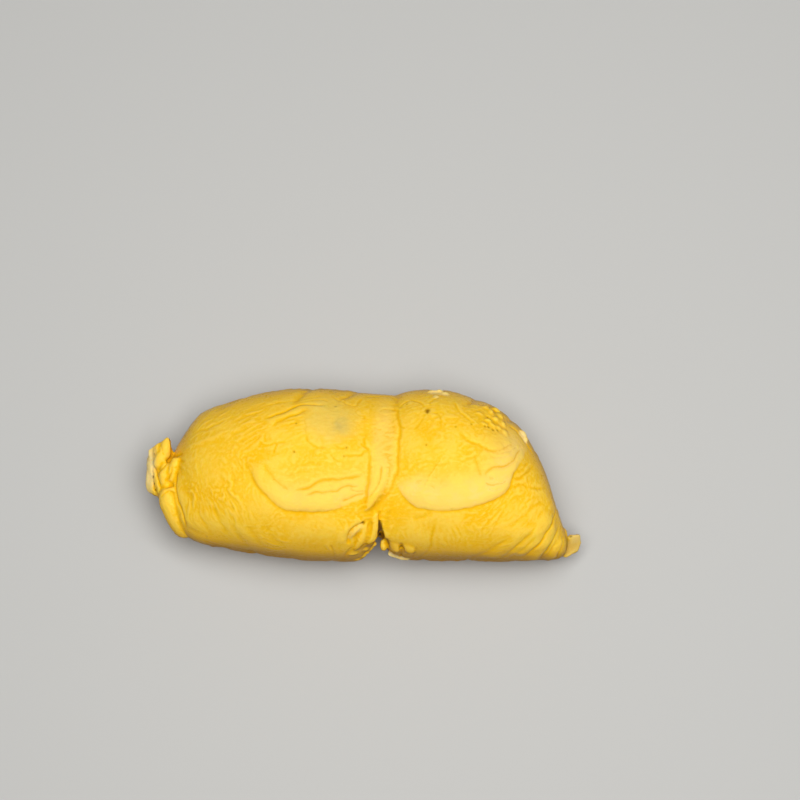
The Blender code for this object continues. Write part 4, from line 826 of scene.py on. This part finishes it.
def press_crease(shift, crease, skin, skin_out, hits, half_width, depth):
    """A narrow valley with soft banks, the bank on its left hand a little higher."""
    path, path_out = fold_path(hits)
    index, distance, share, _ = near_path(skin, skin_out, path, path_out, CREASE_REACH * half_width * MM)
    across = distance / (half_width * MM)
    valley = np.exp(-(np.abs(across) ** 1.4))
    left, right = (np.exp(-((across - at) ** 2) / 2) for at in (BANK_AT, -BANK_AT))
    bank = (LEFT_BANK * left + RIGHT_BANK * right) * min(1.0, BANK_FULL_DEPTH / abs(depth))
    fade = faded(share) * unevenness(skin[index])
    shift[index] -= skin_out[index] * (depth * MM * (valley - bank) * fade)[:, None]
    # How strongly the crease is painted with golden shade
    strength = min(1.0, depth / CREASE_SHADE_DEPTH) * min(1.0, CREASE_SHADE_HALF_WIDTH / half_width)
    crease[index] = np.maximum(crease[index], valley * fade * strength)


def noise_at(points, offset):
    """Smooth noise from -1 to 1 at points given in wavelengths."""
    return np.array([noise.noise(Vector(p)) for p in points + offset])


def patch(px, py, centre, radii, turn=0.0):
    """A soft oval mask around a pixel of the view: 1 in the middle and 0 outside."""
    angle = math.radians(turn)
    dx, dy = px - centre[0], py - centre[1]
    along = (dx * math.cos(angle) + dy * math.sin(angle)) / radii[0]
    across = (-dx * math.sin(angle) + dy * math.cos(angle)) / radii[1]
    return 1 - smooth_step(0.35, 1.0, np.sqrt(along**2 + across**2))


def around_spots(skin, tree, spots):
    """For each row that starts with a pixel and a radius: each skin point's distance from what shows
    there, in radii, and the rest of the row. Pixels beside the skin are left out."""
    for px, py, radius, *rest in spots:
        middle = tree.ray_cast(EYE, view_ray(px, py))[0]
        if middle is not None:
            yield np.linalg.norm(skin - np.array(middle), axis=1) / (radius * MM), *rest


def spotted(skin, tree, spots):
    """The strongest of several soft round masks on the skin, each around what shows at a pixel."""
    mask = np.zeros(len(skin))
    for away, strength in around_spots(skin, tree, spots):
        mask = np.maximum(mask, strength * (1 - smooth_step(0.5, 1.0, away)))
    return mask


def pleats(points, direction, spacing, length, seed):
    """Rounded ridges with narrow valleys between them, drawn out along a direction, from -1 to 1."""
    along = np.array(direction) / np.linalg.norm(direction)
    run = (points @ along)[:, None] * along
    where = (points - run) / (spacing * MM) + run / (length * MM)
    coarse = noise_at(where, (seed, 3.1, 7.7))
    fine = noise_at(where * 2.1, (seed, 9.4, 1.2))
    return 0.9 * coarse + 0.5 * fine + 1.6 * np.abs(coarse) - 0.4


def wrinkle_height(skin, skin_out, px, py, smooth):
    """Height of the fine wrinkles at each skin point, in metres."""
    lengths = skin / (WRINKLE_BEND_LENGTH * MM)
    bend = np.stack([noise_at(lengths, (seed, 0.0, 0.0)) for seed in (11.0, 23.0, 37.0)], axis=1)
    bent = skin + bend * WRINKLE_BEND * MM
    to_eye = np.array(EYE) - skin
    seen = smooth_step(0.0, 0.25, (to_eye * skin_out).sum(axis=1) / np.linalg.norm(to_eye, axis=1))
    kinds, left_over, height = [], np.ones(len(skin)), np.zeros(len(skin))
    for k, (centre, radii, *wrinkles) in enumerate(WRINKLES):
        weight = patch(px, py, centre, radii) * seen * left_over
        left_over = left_over - weight
        kinds.append((weight, 1.7 * k, *wrinkles))
    kinds.append((left_over * (1 - seen), 19.3, *BACK_WRINKLES))
    kinds.append((left_over * seen, 19.3, *PLAIN_WRINKLES))
    for weight, seed, direction, spacing, length, deep in kinds:
        some = weight > 0.01
        height[some] += weight[some] * deep * pleats(bent[some], direction, spacing, length, seed)
    patches = noise_at(skin / (WRINKLE_PATCH_LENGTH * MM), (3.0, 6.0, 2.0))
    strength = WRINKLE_LEAST + (1 - WRINKLE_LEAST) * smooth_step(-0.25, 0.35, patches)
    return height * MM * smooth * strength


def press_skin(mesh):
    """Moves the skin by every fold, crease, pit, swell and wrinkle, and gives its masks."""
    skin, out = points_and_normals(mesh)
    tree = BVHTree.FromPolygons([v.co for v in mesh.vertices], [tuple(p.vertices) for p in mesh.polygons])
    shift, crease, dark, pad = np.zeros_like(skin), *np.zeros((3, len(skin)))
    for name, (height, edge, reach, depth, side, *path) in LIPS.items():
        profile = (height, edge, reach, depth, side)
        press_lip(shift, crease, pad, skin, out, seen_by_eye(tree, path), profile, PADS.get(name))
    for half_width, depth, *path in CREASES:
        press_crease(shift, crease, skin, out, seen_by_eye(tree, path), half_width, depth)
    for direction, creases in HIDDEN_CREASES.items():
        for half_width, depth, *path in creases:
            hits = seen_along(Vector(direction), tree, path)
            press_crease(shift, crease, skin, out, hits, half_width, depth)
    # Pits are pressed in, and darkened with brown specks and painted shade
    for away, depth, darkness in around_spots(skin, tree, PITS):
        near = bell(away)
        shift -= out * (near * depth * MM)[:, None]
        dark = np.maximum(dark, near * darkness)
    # Painted shade inside the slit
    shade = [(*row, SLIT_SHADE_DARKNESS) for row in smooth_path(SLIT_SHADE_LINE, SLIT_STEPS)]
    dark = np.maximum(dark, spotted(skin, tree, shade))
    for wavelength, amplitude in SWELLS:
        scale = 1 / (wavelength * MM)
        swell = [noise.noise(Vector(p) * scale + NOISE_SEED_OFFSET) for p in skin]
        shift += out * (np.array(swell) * amplitude * MM)[:, None]

    px, py = pixels_of(skin)
    above = smooth_step(0.0, 0.35, out[:, 2])
    pad = pad * above
    band = patch(px, py, *BAND_AREA) * above
    ends = np.maximum(patch(px, py, *LEFT_END_AREA), patch(px, py, *RIGHT_END_AREA))
    smooth = 1 - 0.5 * np.clip(pad + 0.4 * band + 0.5 * ends, 0, 1)
    shift += out * wrinkle_height(skin, out, px, py, smooth)[:, None]

    mottle = noise_at(skin / (MOTTLE_LENGTHS[0] * MM), (5.0, 2.0, 1.0))
    broad = noise_at(skin / (MOTTLE_LENGTHS[1] * MM), (2.0, 5.0, 8.0))
    off_x, off_y = px - BRUISE_MIDDLE[0] - 3 * broad, py - BRUISE_MIDDLE[1] + 3 * mottle
    bruise = np.exp(-(off_x**2 / BRUISE_SPREAD[0] + off_y**2 / BRUISE_SPREAD[1]))
    bruise = bruise * (0.8 + 0.4 * mottle) * above
    grey = patch(px + 6 * broad, py + 6 * mottle, *GREY_AREA) * above
    left_scar = patch(px, py, *SCAR_AREA) * (0.8 + 0.3 * mottle)
    cream = spotted(skin, tree, CREAM_SPOTS) * (0.9 + 0.3 * mottle)
    masks = {
        "crease": crease,
        "dark": dark,
        # Paler pads and band, partly painted highlight
        "pale_and_highlight": np.clip(pad + 0.55 * band, 0, 1),
        # Where the skin faces sideways or down: painted shade there, and duller gloss
        "side": np.clip(SIDE_STARTS - out[:, 2], 0, 1),
        "bruise": np.clip(bruise, 0, 1),
        "grey": grey,
        "scar": np.clip(np.maximum(left_scar, cream), 0, 1),
        "straw": spotted(skin, tree, STRAW_SPOTS),
    }
    skin = skin + shift
    skin[:, 2] = np.maximum(skin[:, 2], 0.0)
    set_points(mesh, skin)
    return masks


def hollows(mesh):
    """How hollow the skin is around each point: 0 on a ridge, 1 in a crease, one half where it is even."""
    skin, out = points_and_normals(mesh)
    edges = rows_of(mesh.edges, "vertices", 2, np.int64)
    hollow = np.full(len(skin), 0.5)
    for steps, full in HOLLOWS:
        moved = ((evened(skin, edges, steps) - skin) * out).sum(axis=1)
        hollow += 0.25 * np.clip(moved / (full * MM), -1, 1)
    return hollow


def make_skin():
    loaf = loaf_surface()
    tree = BVHTree.FromPolygons([Vector(p) for p in loaf[0]], loaf[1])
    shells = [loaf]
    shells += [skin_roll(tree, roll) for roll in SKIN_ROLLS.values()]
    shells += [free_roll(rows) for rows in END_ROLLS.values()]
    shells += [skin_knob(tree, knob) for knob in SKIN_KNOBS]
    shells += [free_knob(knob) for knob in END_KNOBS]
    shells += [plate(*row) for row in PLATES.values()]
    piece = mesh_object("durian_skin", shells)
    with_modifier(piece, "REMESH", mode="VOXEL", voxel_size=SKIN_VOXEL)
    with_modifier(piece, "SMOOTH", factor=0.5, iterations=SKIN_SMOOTH_STEPS)
    masks = press_skin(piece.data)
    fine_skin = rows_of(piece.data.vertices, "co")
    piece.data.calc_loop_triangles()
    ratio = SKIN_TRIANGLES / len(piece.data.loop_triangles)
    with_modifier(piece, "DECIMATE", ratio=ratio, use_collapse_triangulate=True)

    mesh = piece.data
    skin = rows_of(mesh.vertices, "co")
    finder = KDTree(len(fine_skin))
    for k, point in enumerate(fine_skin):
        finder.insert(point, k)
    finder.balance()
    nearest = np.array([finder.find(point)[1] for point in skin])
    masks = {name: values[nearest] for name, values in masks.items()}
    # Hollows get painted shade and ridges get painted highlight
    masks["hollow"] = hollows(mesh)
    for name, values in masks.items():
        layer = mesh.attributes.new(name, "FLOAT", "POINT")
        layer.data.foreach_set("value", values.astype(np.float32))
    set_points(mesh, skin + np.array(ORIGIN_SHIFT))
    mesh.shade_smooth()
    mesh.materials.clear()
    mesh.materials.append(flesh_material())
    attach(piece, "root")
    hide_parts("durian_flesh")


# Colours of the skin: linear red, green and blue, and opacity
YELLOW = (0.91, 0.55, 0.024, 1)
DEEP_YELLOW = (0.9, 0.505, 0.009, 1)
# Painted shade: the golden of creases and hollows
SHADE_GOLDEN = (0.8, 0.42, 0.002, 1)
# Painted shade on the sides, darker still towards the underside
SIDE_SHADE_GOLDEN = (0.88, 0.475, 0.004, 1)
LOW_SIDE_SHADE = (0.45, 0.205, 0.0005, 1)
# Paler tone of the pads and the band, partly painted highlight
PALE_AND_HIGHLIGHT = (0.94, 0.64, 0.16, 1)
# Painted highlight: on ridges and as fine glints
PAINTED_HIGHLIGHT = (0.95, 0.64, 0.09, 1)
CREAM = (0.84, 0.7, 0.34, 1)
STRAW = (0.86, 0.58, 0.11, 1)
GREY = (0.78, 0.6, 0.14, 1)
GREY_BROWN = (0.42, 0.33, 0.12, 1)
# Brown of specks, and painted shade in pits, in the slit and on the end flap
BROWN_SPECK_AND_SHADE = (0.1, 0.04, 0.007, 1)
# Layers of colour over the yellow, from the lowest up: the mask, its values where the layer is absent
# and where it is strongest, how much of it shows there, and its colour
LAYERS = (
    # Paler pads and band, partly painted highlight
    ("pale_and_highlight", 0, 1, 1, PALE_AND_HIGHLIGHT),
    # Painted shade in hollows, and painted highlight on ridges
    ("hollow", 0.55, 0.95, 0.8, SHADE_GOLDEN),
    ("hollow", 0.45, 0.15, 0.6, PAINTED_HIGHLIGHT),
    # Painted golden shade in creases
    ("crease", 0.1, 1, 0.3, SHADE_GOLDEN),
    # Painted shade on the sides, darker towards the underside
    ("side", 0, 0.35, 0.8, SIDE_SHADE_GOLDEN),
    ("side", 0.3, 0.62, 0.92, LOW_SIDE_SHADE),
    ("grey", 0, 1, 0.55, GREY),
    ("bruise", 0, 1, 0.6, GREY_BROWN),
    ("scar", 0, 1, 0.85, CREAM),
    ("straw", 0, 1, 1, STRAW),
    # Brown specks, and painted shade in pits and the slit
    ("dark", 0, 1, 1, BROWN_SPECK_AND_SHADE),
)


class Nodes:
    """Short calls for building one material's node tree."""

    def __init__(self, material):
        self.tree = material.node_tree
        self.shader = self.tree.nodes["Principled BSDF"]

    def put(self, target, value):
        """Links an input to a socket, or gives it a plain value."""
        if isinstance(value, bpy.types.NodeSocket):
            self.tree.links.new(value, target)
        else:
            target.default_value = value

    def node(self, kind, output, inputs, **settings):
        """An output of a new node that has the given inputs and settings."""
        made = self.tree.nodes.new("ShaderNode" + kind)
        for key, value in settings.items():
            setattr(made, key, value)
        for name, value in inputs.items():
            self.put(next(s for s in made.inputs if s.name == name and s.enabled), value)
        return next(s for s in made.outputs if s.name == output and s.enabled)

    def attribute(self, name):
        return self.node("Attribute", "Fac", {}, attribute_name=name)

    def mixed(self, factor, a, b):
        """A colour between a and b."""
        inputs = {"Factor": factor, "A": a, "B": b}
        return self.node("Mix", "Result", inputs, data_type="RGBA")

    def ranged(self, value, low, high, to_low, to_high):
        limits = {"From Min": low, "From Max": high, "To Min": to_low, "To Max": to_high}
        return self.node("MapRange", "Result", {"Value": value, **limits})

    def added(self, a, b):
        made = self.tree.nodes.new("ShaderNodeMath")
        made.operation = "ADD"
        self.put(made.inputs[0], a)
        self.put(made.inputs[1], b)
        return made.outputs[0]

    def noise(self, scale, detail, roughness=0.5):
        where = self.node("TexCoord", "Object", {})
        inputs = {"Vector": where, "Scale": scale, "Detail": detail, "Roughness": roughness}
        return self.node("TexNoise", "Fac", inputs)


def flesh_material():
    material = bpy.data.materials.new("durian_flesh")
    material.use_nodes = True
    n = Nodes(material)
    blotches = n.ranged(n.noise(90, 3), 0.35, 0.65, 0, 1)
    colour = n.mixed(blotches, YELLOW, DEEP_YELLOW)
    # Painted glints: fine specks of highlight colour
    painted_glints = n.ranged(n.noise(1100, 3), 0.52, 0.72, 0, 0.45)
    colour = n.mixed(painted_glints, colour, PAINTED_HIGHLIGHT)
    for mask, absent, strongest, most, layer in LAYERS:
        colour = n.mixed(n.ranged(n.attribute(mask), absent, strongest, 0, most), colour, layer)
    gloss = n.ranged(n.noise(900, 4), 0.3, 0.7, 0.22, 0.42)
    dull = n.ranged(n.attribute("side"), 0.3, 0.9, 0, 0.3)
    grain = {"Distance": 0.16 * MM, "Strength": 0.9, "Height": n.noise(800, 5, 0.6)}
    for name, value in (
        ("Base Color", colour),
        ("Roughness", n.added(gloss, dull)),
        ("Subsurface Weight", 0.3),
        ("Subsurface Radius", (1.0, 0.62, 0.18)),
        ("Subsurface Scale", 0.9 * MM),
        ("Specular IOR Level", 0.07),
        ("Specular Tint", (1.0, 0.84, 0.42, 1)),
        ("Normal", n.node("Bump", "Normal", grain)),
    ):
        n.put(n.shader.inputs[name], value)
    return material


def make_floor():
    material = bpy.data.materials.new("floor")
    material.use_nodes = True
    shader = material.node_tree.nodes["Principled BSDF"]
    shader.inputs["Base Color"].default_value = (0.48, 0.48, 0.47, 1)
    shader.inputs["Roughness"].default_value = 0.7
    half = 3.0
    corners = [(-half, -half, 0), (half, -half, 0), (half, half, 0), (-half, half, 0)]
    floor = mesh_object("floor", [(corners, [(0, 1, 2, 3)])])
    floor.data.materials.append(material)


def aimed(made, place, direction):
    """Puts a lamp or the camera at a place and turns it to look in a direction."""
    facing = direction.to_track_quat("-Z", "Y")
    made.matrix_world = Matrix.Translation(place) @ facing.to_matrix().to_4x4()


def make_light(name, place, aim, side, power, colour):
    data = bpy.data.lights.new(name, "AREA")
    data.shape = "RECTANGLE"
    data.size = data.size_y = side
    data.energy = power
    data.color = colour
    aimed(placed(name, data), place, Vector(aim) - Vector(place))


def make_camera():
    data = bpy.data.cameras.new("camera")
    data.lens = LENS_MM
    data.clip_start = 0.01
    camera = placed("camera", data)
    aimed(camera, EYE + ORIGIN_SHIFT, AIM - EYE)
    bpy.context.scene.camera = camera


def make_studio():
    scene = bpy.context.scene
    world = bpy.data.worlds.new("studio")
    world.use_nodes = True
    sky = world.node_tree.nodes["Background"]
    sky.inputs["Color"].default_value = (1.0, 1.0, 1.0, 1)
    sky.inputs["Strength"].default_value = 0.05
    scene.world = world
    scene.view_settings.view_transform = "Standard"
    make_light("key", (0.04, -0.03, 0.92), (0, 0, 0.02), 0.65, 10.2, (1.0, 0.99, 0.97))
    make_light("fill", (0.45, -0.05, 0.9), (0, 0, 0.02), 0.6, 1.0, (1.0, 1.0, 1.0))


make_camera()
make_studio()
make_floor()
make_skin()
